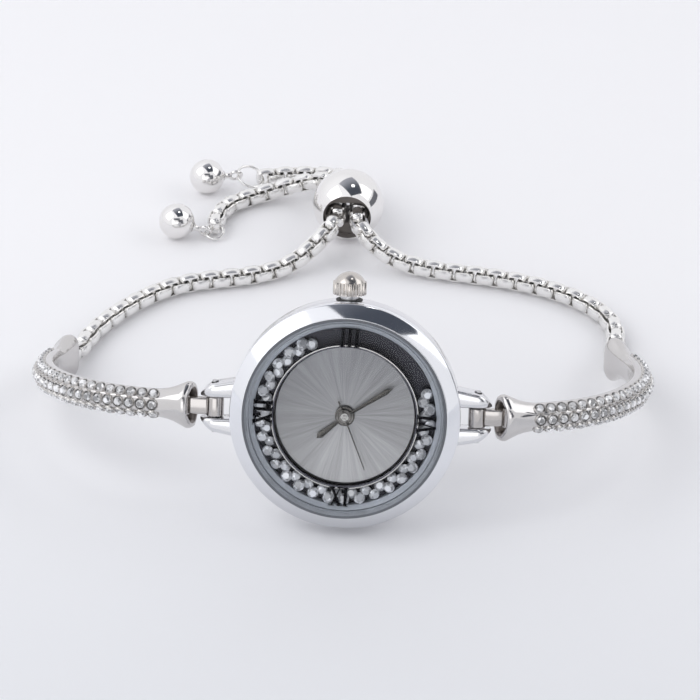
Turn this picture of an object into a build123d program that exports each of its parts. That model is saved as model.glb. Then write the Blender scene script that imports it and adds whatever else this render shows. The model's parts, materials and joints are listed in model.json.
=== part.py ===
from build123d import *
import os
from math import asin, atan2, ceil, cos, degrees, pi, radians, sin, sqrt

# Ladies' bracelet watch: loose stones run in a channel round the dial, and two
# stone-set bars and a box chain make a bracelet that a sliding bead draws tight.
# Millimetres and degrees. The watch stands on the lower edge of its case, leaning
# back, and the bracelet runs back from it and lies on the surface, as when laid out.
# The case frame has x across the bracelet, y up the face to the crown, and z out of
# the glass, from the centre of the glass's outer edge.

# Stance of the case and of the bracelet's two sides
case_lean = 21.0
tongue_angle = {"left": 0.0, "right": 2.0}
bar_angle = {"left": 8.0, "right": 16.0}
chain_angle = {"left": 0.0, "right": 8.0}
left_rim_lift = 0.06
right_rim_lift = 1.2

# Running gaps, used wherever two pieces meet
turning_gap = 0.03
seat_gap = 0.02
loose_gap = 0.1
cut_over = 1.0

# Bezel and glass
bezel_radius = 14.0
bezel_face = 1.65
bezel_drop = 1.3
bezel_height = 2.6
bezel_bevel = 0.2
shelf_width = 0.65
shelf_thickness = 0.4
gasket_width = 0.3
glass_bevel = 1.0
glass_rise = 0.3
glass_depth = 0.95

# Case band, its back and the four horns that hold the bracelet
band_wall = 1.45
band_shoulder_depth = 5.5
band_depth = 6.9
back_inset = 1.1
back_seat_step = 0.55
back_seat_depth = 5.9
back_plug_rise = 0.7
back_flange = 0.5
back_dome = 0.6
back_dome_width = 2.4
gasket_thickness = 0.4
horn_gap = 2.5
horn_width = 2.4
horn_half_depth = 1.45
horn_bevel = 0.35
horn_depth = 4.3
horn_sink = 1.25
horn_reach = 2.0
spring_bar_radius = 0.5
spring_tip_radius = 0.36
spring_tip_recess = 0.4

# Channel of the loose stones, and the dial
channel_width = 2.13
channel_floor_depth = 2.7
channel_floor_thickness = 0.3
flange_drop = 0.5
clear_wall = 0.27
dial_depth = 2.2
dial_thickness = 0.3
dial_gap = 0.11
dial_hole_radius = 0.62
crystal_width = 1.42
crystal_height = 1.0
crystal_table_share = 0.56
crystal_girdle_share = 0.62
crystal_count = 34
crystal_start_angle = 116.0
crystal_arc_angle = 262.0
crystal_wall_gap = 0.115
crystal_sides = 8

# Hands, with clock angles read clockwise from the crown
hand_gap = 0.14
second_thickness = 0.12
minute_thickness = 0.12
hour_thickness = 0.14
under_glass_gap = 0.15
minute_length = 6.9
minute_hub_radius = 0.85
minute_root_width = 0.38
minute_belly_width = 0.7
minute_angle = 56.5
hour_length = 4.4
hour_hub_radius = 1.2
hour_root_width = 0.5
hour_belly_width = 0.93
hour_angle = 229.4
belly_share = 0.84
second_length = 6.95
second_tail = 2.1
second_width = 0.17
second_hub_radius = 0.5
second_angle = 158.2
second_arbor_radius = 0.12
cannon_radius = 0.28
hour_pipe_radius = 0.48
pipe_wall = 0.13

# Motion work behind the dial: cannon pinion, minute wheel and hour wheel
first_module = 0.1
cannon_teeth = 12
minute_wheel_teeth = 36
minute_pinion_teeth = 10
hour_wheel_teeth = 40
wheel_thickness = 0.16
dedendum_share = 1.2
tooth_root_share = 0.3
tooth_tip_share = 0.12
post_radius = 0.2

# Quartz movement
movement_radius = 8.0
plate_thickness = 0.9
recess_depth = 0.5
block_radius = 7.8
block_depth = 2.3
battery_radius = 3.4
battery_height = 2.1
battery_step = 0.2
battery_x = -3.6
battery_y = -2.4
coil_x = 4.9
coil_length = 5.6
coil_radius = 0.85
coil_core = 0.7
coil_flange_length = 0.9
holder_gap = 0.1
strap_length = 7.2
strap_width = 1.5
strap_thickness = 0.15

# Crown, its tube and its stem
crown_tube_radius = 1.08
crown_tube_bore = 0.5
crown_tube_stand = 0.95
crown_stand = 0.6
crown_knurl_radius = 2.03
crown_root_radius = 1.87
crown_knurl_length = 1.54
crown_flutes = 26
flute_root_share = 0.28
flute_tip_share = 0.12
crown_dome_radius = 1.85
crown_dome_height = 1.2
crown_cup_radius = 1.28
crown_cup_depth = 0.55
stem_radius = 0.42
stem_inner_end = 5.4
stem_into_crown = 1.0
clutch_radius = 0.8
clutch_start = 6.3
clutch_length = 1.0
stem_slot = 3.2

# Tongue link between the horns and each bar
tongue_width = 2.0
tongue_pitch = 4.0
tongue_thickness = 1.3
tongue_case_eye = 1.05
tongue_bar_eye = 0.9
bar_pin_radius = 0.4

# Stone-set bar: three seats for rows of stones, a smooth inside and a bell at each end
bar_bend_radius = 19.6
bar_bend_angle = 94.0
seat_width = 1.5
seat_angle = 52.0
seat_height = 1.5
bar_inside = 1.1
bar_back_half = 1.0
bar_waist = 0.55
bell_length = 3.8
bell_height_scale = 1.7
bell_depth_scale = 1.22
bell_neck_share = 0.42
bell_neck_scale_share = 0.68
pocket_height_scale = 1.4
pocket_depth_scale = 0.97
pocket_taper_share = 0.72
pocket_depth = 2.5
pin_inset = 1.1
chain_pin_inset = 0.7
pin_recess = 0.1
stone_width = 1.28
stone_height = 0.45
stone_table_share = 0.6
stones_in_row = 23
stone_sides = 8

# Box chain
link_length = 2.85
link_height = 2.75
link_wall = 0.6
link_strip = 1.2
link_corner = 0.8
link_pitch = 1.5
first_link_hook = 0.38
first_run_share = 0.27
second_run_share = 0.54

# Sliding bead, its grip insert and the two chains inside it
bead_radius = 5.15
bead_bore_radius = 3.45
bead_x = -3.1
bead_y = 68.0
insert_half_length = 2.5
insert_slot_width = 6.3
insert_slot_height = 3.3
chain_side_step = 1.5

# Rings and balls at the two tail ends
ring_wire_radius = 0.25
wire_sides = 8
near_ring_radius = 1.3
far_ring_radius = 2.0
ball_radius = 2.6
ball_eye_radius = 0.85
ball_neck = 0.9
ball_neck_radius = 0.4
near_ring_heading_angle = 270.0
near_ring_rise_angle = -25.0
near_ring_roll_angle = 0.0
near_eye_turn_angle = -75.0
near_eye_lift_angle = 70.0
near_ball_heading_angle = 178.0
far_ring_heading_angle = 198.0
far_ring_rise_angle = 15.0
far_ring_roll_angle = -22.0
far_eye_turn_angle = 0.0
far_eye_lift_angle = 0.0
far_ball_heading_angle = 195.0

# Route of each chain, chosen by hand: x, y and the height above the level at which it lies
left_run = [(-37.5, 32.6, 0.3), (-36.4, 36.6, 0), (-34.2, 41.2, 0), (-30.2, 46.6, 0), (-25.4, 50.4, 0),
            (-19.6, 52.4, 0), (-14.2, 54.3, 0), (-10.6, 56.5, 0.4), (-7.5, 59.1, 1.9), (-5.4, 61.6, 3.3)]
right_run = [(34.4, 36.3, 0.9), (34.9, 40.4, 0.1), (34.6, 44.2, 0), (32.8, 47.8, 0), (29.4, 51.0, 0),
             (22.9, 54.2, 0), (14.8, 56.1, 0), (8.4, 57.2, 0.1), (3.8, 58.5, 0.8), (0.9, 60.1, 2.1), (-0.9, 62.0, 3.3)]
near_tail_run = [(-5.5, 74.2, 3.5), (-7.9, 76.4, 2.6), (-11.0, 77.2, 1.5), (-14.5, 76.8, 0.5),
                 (-18.2, 75.1, 0), (-20.9, 72.6, 0), (-22.2, 69.6, 0), (-22.4, 66.6, 0)]
far_tail_run = [(-1.7, 74.4, 3.1), (-2.7, 78.0, 2.0), (-5.2, 81.0, 0.8), (-8.8, 82.5, 0.1),
                (-13.0, 82.3, 0), (-17.6, 80.9, 0)]

# Radii worked out from the bezel inwards
bezel_lip_radius = bezel_radius - bezel_face
band_bore_radius = bezel_radius - band_wall
shelf_radius = bezel_lip_radius - shelf_width
glass_radius = bezel_lip_radius - gasket_width
glass_table_radius = glass_radius - glass_bevel
channel_outer_radius = glass_table_radius
channel_inner_radius = channel_outer_radius - channel_width
back_radius = bezel_radius - back_inset
back_seat_radius = band_bore_radius - back_seat_step
back_flat_radius = back_radius - back_dome_width
horn_root = bezel_radius - horn_sink
spring_bar_reach = bezel_radius + horn_reach
crown_base = bezel_radius + crown_stand
crystal_zigzag = (channel_width - crystal_width) / 2 - crystal_wall_gap

# Levels in the case frame, from the glass edge downwards
glass_under = -glass_depth
shelf_under = glass_under - shelf_thickness
channel_floor = -channel_floor_depth
second_top = glass_under - under_glass_gap
second_under = second_top - second_thickness
minute_top = second_under - hand_gap
minute_under = minute_top - minute_thickness
hour_top = minute_under - hand_gap
hour_under = hour_top - hour_thickness
dial_top = -dial_depth
dial_under = dial_top - dial_thickness
recess_floor = dial_under - recess_depth
plate_under = dial_under - plate_thickness
block_under = plate_under - block_depth
floor_under = channel_floor - channel_floor_thickness
stem_level = -horn_depth
case_height = bezel_radius * cos(radians(case_lean)) + band_shoulder_depth * sin(radians(case_lean))
chain_height = link_height / 2

# Places in the world: the case stands on the surface, z = 0
case_place = Pos(0, 0, case_height) * Rot(90 - case_lean, 0, 0)
nodes = {}


def turned(points):
    """A ring or disc turned about the case axis from its half section (radius, level)."""
    outline = Polyline([(radius, 0, level) for radius, level in points], close=True)
    return revolve(make_face(outline), Axis.Z)


def ring(outer, inner, top, under):
    return turned([(inner, top), (outer, top), (outer, under), (inner, under)])


def disc(radius, top, under):
    return Pos(0, 0, under) * Cylinder(radius, top - under, align=(Align.CENTER, Align.CENTER, Align.MIN))


def rod_y(radius, start, end):
    """A round rod along y, at the case frame's x = z = 0."""
    rod = Cylinder(radius, end - start, align=(Align.CENTER, Align.CENTER, Align.MIN))
    return Pos(0, start, 0) * Rot(-90, 0, 0) * rod


def in_case(shape):
    return case_place * shape


def clock(angle):
    """Turns a hand that points up the face to its clock angle."""
    return Rot(0, 0, -angle)


# Bezel, glass and the glass's gasket
def make_bezel():
    body = turned([
        (bezel_lip_radius, 0), (bezel_radius, -bezel_drop), (bezel_radius, -bezel_height),
        (band_bore_radius, -bezel_height), (band_bore_radius, shelf_under),
        (shelf_radius, shelf_under), (shelf_radius, glass_under), (bezel_lip_radius, glass_under),
    ])
    rim = body.edges().filter_by(GeomType.CIRCLE).filter_by(
        lambda edge: abs(edge.radius - bezel_radius) < seat_gap and edge.center().Z > -bezel_height / 2 - bezel_drop / 2
    )
    return chamfer(rim, bezel_bevel)


def make_glass():
    return turned([
        (0, glass_rise), (glass_table_radius, glass_rise), (glass_radius, 0),
        (glass_radius, glass_under), (0, glass_under),
    ])


nodes["bezel"] = in_case(make_bezel())
nodes["glass"] = in_case(make_glass())
nodes["glass_gasket"] = in_case(ring(
    bezel_lip_radius - seat_gap, glass_radius + seat_gap, -loose_gap, glass_under + seat_gap))


# Case band with its horns, the back and the spring bars
def make_horn():
    """One horn, between the band and the spring bar, with its outer edges bevelled."""
    run = Pos((horn_root + spring_bar_reach) / 2, 0, 0) * Box(
        spring_bar_reach - horn_root, horn_width, 2 * horn_half_depth)
    tip = Pos(spring_bar_reach, 0, 0) * Rot(90, 0, 0) * Cylinder(horn_half_depth, horn_width)
    horn = run + tip
    horn = chamfer(horn.faces().filter_by(Axis.Y).edges().filter_by(
        lambda edge: edge.center().X > horn_root + seat_gap), horn_bevel)
    hole = Pos(spring_bar_reach, 0, 0) * Rot(90, 0, 0) * Cylinder(
        spring_tip_radius + turning_gap, horn_width + cut_over)
    return Pos(0, (horn_gap + horn_width) / 2, -horn_depth) * (horn - hole)


def make_band():
    body = turned([
        (band_bore_radius, -bezel_height), (bezel_radius, -bezel_height),
        (bezel_radius, -band_shoulder_depth), (back_radius, -band_depth),
        (back_seat_radius, -band_depth), (back_seat_radius, -back_seat_depth),
        (band_bore_radius, -back_seat_depth),
    ])
    horn = make_horn()
    for shape in (horn, mirror(horn, Plane.XZ)):
        body = body + shape + mirror(shape, Plane.YZ)
    tube_hole = Pos(0, 0, stem_level) * rod_y(crown_tube_radius + seat_gap, 0, bezel_radius + cut_over)
    return body - tube_hole


def make_spring_bar():
    barrel = Rot(90, 0, 0) * Cylinder(spring_bar_radius, horn_gap - 2 * loose_gap)
    tips = Rot(90, 0, 0) * Cylinder(spring_tip_radius, horn_gap + 2 * (horn_width - spring_tip_recess))
    return Pos(spring_bar_reach, 0, -horn_depth) * (barrel + tips)


def make_caseback():
    plug_top = -band_depth + back_plug_rise
    plug_radius = back_seat_radius - loose_gap
    groove_radius = plug_radius - gasket_thickness
    groove_top = -band_depth + gasket_thickness
    return turned([
        (0, plug_top), (groove_radius, plug_top), (groove_radius, -band_depth),
        (back_radius, -band_depth), (back_radius, -band_depth - back_flange),
        (back_flat_radius, -band_depth - back_flange - back_dome), (0, -band_depth - back_flange - back_dome),
    ]) + ring(groove_radius + seat_gap, groove_radius / 2, plug_top, groove_top)


back_face_level = -band_depth - back_flange - back_dome
spring_bar = make_spring_bar()
nodes["case_band"] = in_case(make_band())
nodes["spring_bars"] = in_case(Compound([spring_bar, mirror(spring_bar, Plane.YZ)]))
nodes["caseback"] = in_case(make_caseback())
nodes["caseback_gasket"] = in_case(ring(
    back_seat_radius - seat_gap, back_seat_radius - loose_gap - gasket_thickness + seat_gap,
    -band_depth + gasket_thickness, -band_depth))


# Stone channel, dial and loose stones
def tapered_facets(width, height, top_share, sides):
    """Flat facets rising from a many-sided base to a smaller top of the same outline."""
    flat = width / 2 * cos(pi / sides)
    inset = flat * (1 - top_share)
    return extrude(RegularPolygon(width / 2, sides), height, taper=degrees(atan2(inset, height)))


def cut_stone(width, height, table_share, sides, pavilion=0.0):
    """A faceted stone, table up, on a flat base or on a pointed pavilion of its own depth."""
    stone = tapered_facets(width, height, table_share, sides)
    if pavilion:
        tip_share = (1 - table_share) / sides
        stone = stone + mirror(tapered_facets(width, pavilion, tip_share, sides), Plane.XY)
    return stone


def make_crystals():
    crown_height = crystal_height * (1 - crystal_girdle_share)
    pavilion = crystal_height * crystal_girdle_share
    crystal = Pos(0, 0, pavilion) * cut_stone(
        crystal_width, crown_height, crystal_table_share, crystal_sides, pavilion)
    middle = (channel_outer_radius + channel_inner_radius) / 2
    stones = []
    for index in range(crystal_count):
        angle = crystal_start_angle + crystal_arc_angle * index / (crystal_count - 1)
        side = crystal_zigzag if index % 2 else -crystal_zigzag
        stones.append(Rot(0, 0, angle) * Pos(middle + side, 0, channel_floor + seat_gap) * crystal)
    return Compound(stones)


nodes["channel_flange"] = in_case(turned([
    (shelf_radius - loose_gap, glass_under - seat_gap), (channel_outer_radius, glass_under - flange_drop),
    (channel_outer_radius, channel_floor), (band_bore_radius - loose_gap, channel_floor),
    (band_bore_radius - loose_gap, shelf_under - seat_gap),
    (shelf_radius - loose_gap, shelf_under - seat_gap),
]))
nodes["channel_floor"] = in_case(ring(
    band_bore_radius - loose_gap, channel_inner_radius - clear_wall, channel_floor, floor_under))
nodes["channel_wall"] = in_case(ring(
    channel_inner_radius, channel_inner_radius - clear_wall, glass_under - loose_gap, channel_floor))
dial_radius = channel_inner_radius - clear_wall - dial_gap
nodes["dial_disc"] = in_case(ring(dial_radius, dial_hole_radius, dial_top, dial_under))
nodes["loose_crystals"] = in_case(make_crystals())


# Hands
def lance(length, root, belly, thickness):
    """A lance hand: it widens to a belly near the end, then runs to a point."""
    turn = belly_share * length
    outline = Polyline((-root / 2, 0), (root / 2, 0), (belly / 2, turn), (0, length), (-belly / 2, turn), close=True)
    return extrude(make_face(outline), thickness)


def make_hand(length, root, belly, hub, bore, under, thickness, angle):
    blade = lance(length, root, belly, thickness) + Cylinder(
        hub, thickness, align=(Align.CENTER, Align.CENTER, Align.MIN))
    blade = blade - Cylinder(bore, 2 * thickness + cut_over)
    return clock(angle) * Pos(0, 0, under) * blade


def make_second_hand():
    needle = Pos(0, (second_length - second_tail) / 2, second_thickness / 2) * Box(
        second_width, second_length + second_tail, second_thickness)
    hand = needle + disc(second_hub_radius, second_thickness, 0)
    return clock(second_angle) * Pos(0, 0, second_under) * hand


nodes["hour_hand"] = in_case(make_hand(
    hour_length, hour_root_width, hour_belly_width, hour_hub_radius,
    hour_pipe_radius + seat_gap, hour_under, hour_thickness, hour_angle))
nodes["minute_hand"] = in_case(make_hand(
    minute_length, minute_root_width, minute_belly_width, minute_hub_radius,
    cannon_radius + seat_gap, minute_under, minute_thickness, minute_angle))
nodes["second_hand"] = in_case(make_second_hand())
nodes["second_arbor"] = in_case(disc(second_arbor_radius, second_under, block_under + loose_gap))


# Motion work: the hour hand goes round once for twelve turns of the minute hand
def gear(teeth, module, thickness, first_tooth=0.0):
    """A flat toothed wheel whose teeth are plain wedges, standing on z = 0."""
    pitch_radius = teeth * module / 2
    tip, root = pitch_radius + module, pitch_radius - module * dedendum_share
    step = 360 / teeth
    points = []
    for index in range(teeth):
        for share, radius in ((-tooth_root_share, root), (-tooth_tip_share, tip),
                              (tooth_tip_share, tip), (tooth_root_share, root)):
            angle = radians(first_tooth + step * (index + share))
            points.append((radius * cos(angle), radius * sin(angle)))
    return extrude(make_face(Polyline(points, close=True)), thickness)


gear_distance = (cannon_teeth + minute_wheel_teeth) * first_module / 2
second_module = 2 * gear_distance / (minute_pinion_teeth + hour_wheel_teeth)
low_wheel = recess_floor + turning_gap
high_wheel = low_wheel + wheel_thickness + turning_gap
cannon_bore = second_arbor_radius + turning_gap
hour_bore = cannon_radius + turning_gap


def make_cannon_pinion():
    tube = disc(cannon_radius, minute_top + seat_gap, plate_under + loose_gap)
    pinion = Pos(0, 0, low_wheel) * gear(cannon_teeth, first_module, wheel_thickness)
    return tube + pinion - disc(cannon_bore, minute_top + cut_over, plate_under - cut_over)


def make_hour_wheel():
    half_tooth = 180 / hour_wheel_teeth
    wheel = Pos(0, 0, high_wheel) * gear(hour_wheel_teeth, second_module, wheel_thickness, half_tooth)
    pipe = disc(hour_pipe_radius, hour_top + seat_gap, high_wheel)
    return wheel + pipe - disc(hour_bore, hour_top + cut_over, high_wheel - cut_over)


def make_minute_wheel():
    half_tooth = 180 / minute_wheel_teeth
    wheel = gear(minute_wheel_teeth, first_module, wheel_thickness, half_tooth)
    pinion = gear(minute_pinion_teeth, second_module, 2 * wheel_thickness + turning_gap)
    bore = Cylinder(post_radius + turning_gap, recess_depth + cut_over)
    return Pos(gear_distance, 0, low_wheel) * (wheel + pinion - bore)


nodes["cannon_pinion"] = in_case(make_cannon_pinion())
nodes["hour_wheel"] = in_case(make_hour_wheel())
nodes["minute_wheel"] = in_case(make_minute_wheel())


# Movement
def make_plate():
    plate = disc(movement_radius, dial_under, plate_under)
    hour_room = (hour_wheel_teeth / 2 + 1) * second_module + loose_gap
    minute_room = (minute_wheel_teeth / 2 + 1) * first_module + loose_gap
    plate = plate - disc(hour_room, dial_under + cut_over, recess_floor)
    plate = plate - Pos(gear_distance, 0, 0) * disc(minute_room, dial_under + cut_over, recess_floor)
    plate = plate - disc(cannon_radius + turning_gap, recess_floor + cut_over, plate_under - cut_over)
    post_top = high_wheel + wheel_thickness
    return plate + Pos(gear_distance, 0, 0) * disc(post_radius, post_top, recess_floor)


def make_train_block():
    block = disc(block_radius, plate_under, block_under)
    block = block - Pos(battery_x, battery_y, 0) * disc(
        battery_radius + loose_gap, plate_under + cut_over, block_under - cut_over)
    coil_room = 2 * (coil_radius + loose_gap)
    coil_run = coil_length + 2 * coil_flange_length + 2 * loose_gap
    room = Pos(coil_x, 0, (plate_under + block_under) / 2) * Box(coil_room, coil_run, block_depth + cut_over)
    slot = Pos(0, clutch_start - loose_gap, plate_under) * Box(
        stem_slot, movement_radius, block_depth, align=(Align.CENTER, Align.MIN, Align.MAX))
    stem_room = Pos(0, 0, stem_level) * rod_y(stem_radius + loose_gap, stem_inner_end - loose_gap, movement_radius)
    return block - room - slot - stem_room - disc(
        second_arbor_radius + turning_gap, plate_under + cut_over, block_under - cut_over)


def make_battery():
    top = plate_under - loose_gap
    cup = disc(battery_radius, top, top - battery_height + battery_step)
    cap = disc(battery_radius - battery_step, top - battery_height + battery_step, top - battery_height)
    return Pos(battery_x, battery_y, 0) * (cup + cap)


def make_coil():
    level = (plate_under + block_under) / 2
    winding = rod_y(coil_radius, -coil_length / 2, coil_length / 2)
    core = Box(coil_core, coil_length + 2 * coil_flange_length, coil_core)
    return Pos(coil_x, 0, level) * (winding + core)


def make_holder():
    body = ring(band_bore_radius - loose_gap, movement_radius + holder_gap, floor_under, -back_seat_depth + seat_gap)
    return body - Pos(0, 0, stem_level) * rod_y(stem_radius + loose_gap, 0, band_bore_radius + cut_over)


nodes["movement_plate"] = in_case(make_plate())
nodes["train_block"] = in_case(make_train_block())
nodes["battery"] = in_case(make_battery())
nodes["battery_strap"] = in_case(Pos(battery_x, battery_y, block_under) * Box(
    strap_length, strap_width, strap_thickness, align=(Align.CENTER, Align.CENTER, Align.MAX)))
nodes["coil"] = in_case(make_coil())
nodes["movement_holder"] = in_case(make_holder())


# Crown, stem and clutch wheel, along y
def make_crown():
    points = []
    for index in range(crown_flutes):
        for share, radius in ((-flute_root_share, crown_root_radius), (-flute_tip_share, crown_knurl_radius),
                              (flute_tip_share, crown_knurl_radius), (flute_root_share, crown_root_radius)):
            angle = 2 * pi * (index + share) / crown_flutes
            points.append((radius * cos(angle), radius * sin(angle)))
    knurl = extrude(make_face(Polyline(points, close=True)), crown_knurl_length)
    knurl = Pos(0, crown_base, 0) * Rot(-90, 0, 0) * knurl
    dome_base = crown_base + crown_knurl_length
    sphere_radius = (crown_dome_radius ** 2 + crown_dome_height ** 2) / (2 * crown_dome_height)
    ball = Pos(0, dome_base + crown_dome_height - sphere_radius, 0) * Sphere(sphere_radius)
    dome = ball & Pos(0, dome_base, 0) * Box(
        2 * sphere_radius, sphere_radius, 2 * sphere_radius, align=(Align.CENTER, Align.MIN, Align.CENTER))
    cup = rod_y(crown_cup_radius, crown_base - cut_over, crown_base + crown_cup_depth)
    bore = rod_y(stem_radius + seat_gap, crown_base, crown_base + crown_cup_depth + stem_into_crown)
    return Pos(0, 0, stem_level) * (knurl + dome - cup - bore)


tube_end = bezel_radius + crown_tube_stand
stem_end = crown_base + crown_cup_depth + stem_into_crown - seat_gap
nodes["crown_tube"] = in_case(Pos(0, 0, stem_level) * (
    rod_y(crown_tube_radius, band_bore_radius + seat_gap, tube_end)
    - rod_y(crown_tube_bore, 0, tube_end + cut_over)))
nodes["crown"] = in_case(make_crown())
nodes["stem"] = in_case(Pos(0, 0, stem_level) * rod_y(stem_radius, stem_inner_end, stem_end))
nodes["crown_gasket"] = in_case(Pos(0, 0, stem_level) * (
    rod_y(crown_cup_radius - seat_gap, crown_base + seat_gap, tube_end - loose_gap)
    - rod_y(crown_tube_radius + turning_gap, 0, tube_end + cut_over)))
nodes["clutch_wheel"] = in_case(Pos(0, 0, stem_level) * (
    rod_y(clutch_radius, clutch_start, clutch_start + clutch_length)
    - rod_y(stem_radius + turning_gap, 0, tube_end)))


# Section of the stone-set bar: outwards is z and along the pins is y
def bar_section(x, height_scale, depth_scale):
    slant_out = seat_width * sin(radians(seat_angle))
    slant_up = seat_width * cos(radians(seat_angle))
    upper = [
        (seat_width / 2, seat_height), (seat_width / 2 + slant_up, seat_height - slant_out),
        (seat_width / 2 + slant_up, -bar_waist), (bar_back_half, -bar_inside),
    ]
    points = upper + [(-y, z) for y, z in reversed(upper)]
    return make_face(Polyline([(x, y * height_scale, z * depth_scale) for y, z in points], close=True))


def make_bell(inset, pin_across):
    """A flared end, rim at x = 0, with a tapering pocket and the hole of its cross pin."""
    neck_scale = 1 + (bell_height_scale - 1) * bell_neck_scale_share
    neck_depth = 1 + (bell_depth_scale - 1) * bell_neck_scale_share
    bell = loft([
        bar_section(0, bell_height_scale, bell_depth_scale),
        bar_section(bell_length * bell_neck_share, neck_scale, neck_depth),
        bar_section(bell_length, 1, 1),
    ], ruled=True)
    pocket = loft([
        bar_section(-seat_gap, pocket_height_scale, pocket_depth_scale),
        bar_section(pocket_depth, pocket_height_scale * pocket_taper_share, pocket_depth_scale * pocket_taper_share),
    ], ruled=True)
    hole = Cylinder(bar_pin_radius + seat_gap, 4 * seat_height * bell_height_scale)
    turn = Rot(90, 0, 0) if pin_across else Rot(0, 0, 0)
    return bell - pocket - Pos(inset, 0, 0) * turn * hole


# Frames along the right-hand side, in the case frame; the left side is its mirror image
bell_half_height = (seat_width / 2 + seat_width * cos(radians(seat_angle))) * bell_height_scale


def rear_distance(side):
    """How far behind the spring bar the bar's far rim lies, in the bracelet's plane."""
    first, last = bar_angle[side], bar_angle[side] + bar_bend_angle
    straight = tongue_pitch * sin(radians(tongue_angle[side]))
    front = (bell_length - pin_inset) * sin(radians(first))
    bend = bar_bend_radius * (cos(radians(first)) - cos(radians(last)))
    return straight + front + bend + bell_length * sin(radians(last))


def side_frames(side):
    """Case-frame places of a side's tongue, bar start and bar end, drooping to the surface."""
    spring_bar_height = case_height - horn_depth * sin(radians(case_lean))
    rim_rest = bell_half_height * cos(radians(case_lean)) + (right_rim_lift if side == "right" else left_rim_lift)
    droop = degrees(asin((spring_bar_height - rim_rest) / rear_distance(side))) - case_lean
    tongue = Pos(spring_bar_reach, 0, -horn_depth) * Rot(-droop, 0, 0) * Rot(0, tongue_angle[side], 0)
    bar = tongue * Pos(tongue_pitch, 0, 0) * Rot(0, bar_angle[side] - tongue_angle[side], 0) * Pos(-pin_inset, 0, 0)
    bend = bar * Pos(bell_length, 0, -bar_bend_radius)
    end = bend * Rot(0, bar_bend_angle, 0) * Pos(0, 0, bar_bend_radius)
    return tongue, bar, bend, end


def on_side(side, shape):
    """Puts a piece built for the right-hand side on its own side, in the world."""
    return in_case(shape if side == "right" else mirror(shape, Plane.YZ))


def world_point(side, place, point=(0, 0, 0)):
    spot = (place * Pos(*point)).position
    across = 1 if side == "right" else -1
    return (case_place * Pos(across * spot.X, spot.Y, spot.Z)).position


def make_tongue():
    case_eye = Rot(90, 0, 0) * Cylinder(tongue_case_eye, tongue_width)
    bar_eye = Pos(tongue_pitch, 0, 0) * Rot(90, 0, 0) * Cylinder(tongue_bar_eye, tongue_width)
    web = Pos(tongue_pitch / 2, 0, 0) * Box(tongue_pitch, tongue_width, tongue_thickness)
    case_hole = Rot(90, 0, 0) * Cylinder(spring_bar_radius + loose_gap, tongue_width + cut_over)
    bar_hole = Pos(tongue_pitch, 0, 0) * Rot(90, 0, 0) * Cylinder(bar_pin_radius + turning_gap, tongue_width + cut_over)
    return case_eye + bar_eye + web - case_hole - bar_hole


def make_bar_body(bend_start):
    arc = revolve(
        bar_section(bell_length, 1, 1), Axis((bell_length, 0, -bar_bend_radius), (0, 1, 0)), bar_bend_angle)
    far = Pos(bell_length, 0, -bar_bend_radius) * Rot(0, bar_bend_angle, 0) * Pos(bell_length, 0, bar_bend_radius)
    return make_bell(pin_inset, True) + arc + far * mirror(make_bell(chain_pin_inset, False), Plane.YZ)


def make_bar_stones(bend):
    """Three rows of flat-backed stones, each on its own seat of the bar."""
    stone = cut_stone(stone_width, stone_height, stone_table_share, stone_sides)
    slant_out = seat_width * sin(radians(seat_angle)) / 2
    slant_up = seat_width * cos(radians(seat_angle)) / 2
    rows = [(0, seat_height, 0), (seat_width / 2 + slant_up, seat_height - slant_out, seat_angle),
            (-seat_width / 2 - slant_up, seat_height - slant_out, -seat_angle)]
    stones = []
    for index in range(stones_in_row):
        angle = bar_bend_angle * (index + 0.5) / stones_in_row
        for y, z, tilt in rows:
            stones.append(bend * Rot(0, angle, 0) * Pos(0, y, bar_bend_radius + z)
                          * Rot(-tilt, 0, 0) * Pos(0, 0, seat_gap) * stone)
    return Compound(stones)


bar_pin_length = 2 * (bell_half_height - pin_recess) * (1 - bell_neck_share / 4)
chain_pin_half = (seat_height + bar_inside) / 2 - pin_recess
chain_pin_middle = (seat_height - bar_inside) / 2
for side in ("left", "right"):
    tongue, bar, bend, end = side_frames(side)
    nodes["tongue_" + side] = on_side(side, tongue * make_tongue())
    nodes["stone_bar_" + side] = on_side(side, bar * make_bar_body(bend))
    nodes["bar_stones_" + side] = on_side(side, make_bar_stones(bend))
    nodes["bar_pin_" + side] = on_side(side, bar * Pos(pin_inset, 0, 0) * Rot(90, 0, 0) * Cylinder(
        bar_pin_radius, bar_pin_length))
    nodes["chain_pin_" + side] = on_side(side, end * Pos(bell_length - chain_pin_inset, 0, chain_pin_middle) * Cylinder(
        bar_pin_radius, 2 * chain_pin_half))


# Box chain: short square rings, each turned a quarter against the next
def make_link():
    half_length, half_height = link_length / 2, link_height / 2
    corners = []
    for x, y in ((1, 1), (-1, 1), (-1, -1), (1, -1)):
        inset_x = (x * (half_length - link_corner), y * half_height)
        inset_y = (x * half_length, y * (half_height - link_corner))
        corners += [inset_y, inset_x] if x * y > 0 else [inset_x, inset_y]
    frame = extrude(make_face(Polyline(corners, close=True)), link_strip / 2, both=True)
    return frame - Box(link_length - 2 * link_wall, link_height - 2 * link_wall, link_strip + cut_over)


def path_place(path, distance, up):
    """A frame on the path, x along it and z as near to up as it can be."""
    point = path.position_at(distance, position_mode=PositionMode.LENGTH)
    along = path.tangent_at(distance, position_mode=PositionMode.LENGTH)
    return Plane(origin=point, x_dir=along, z_dir=(up - along * up.dot(along)).normalized())


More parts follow.
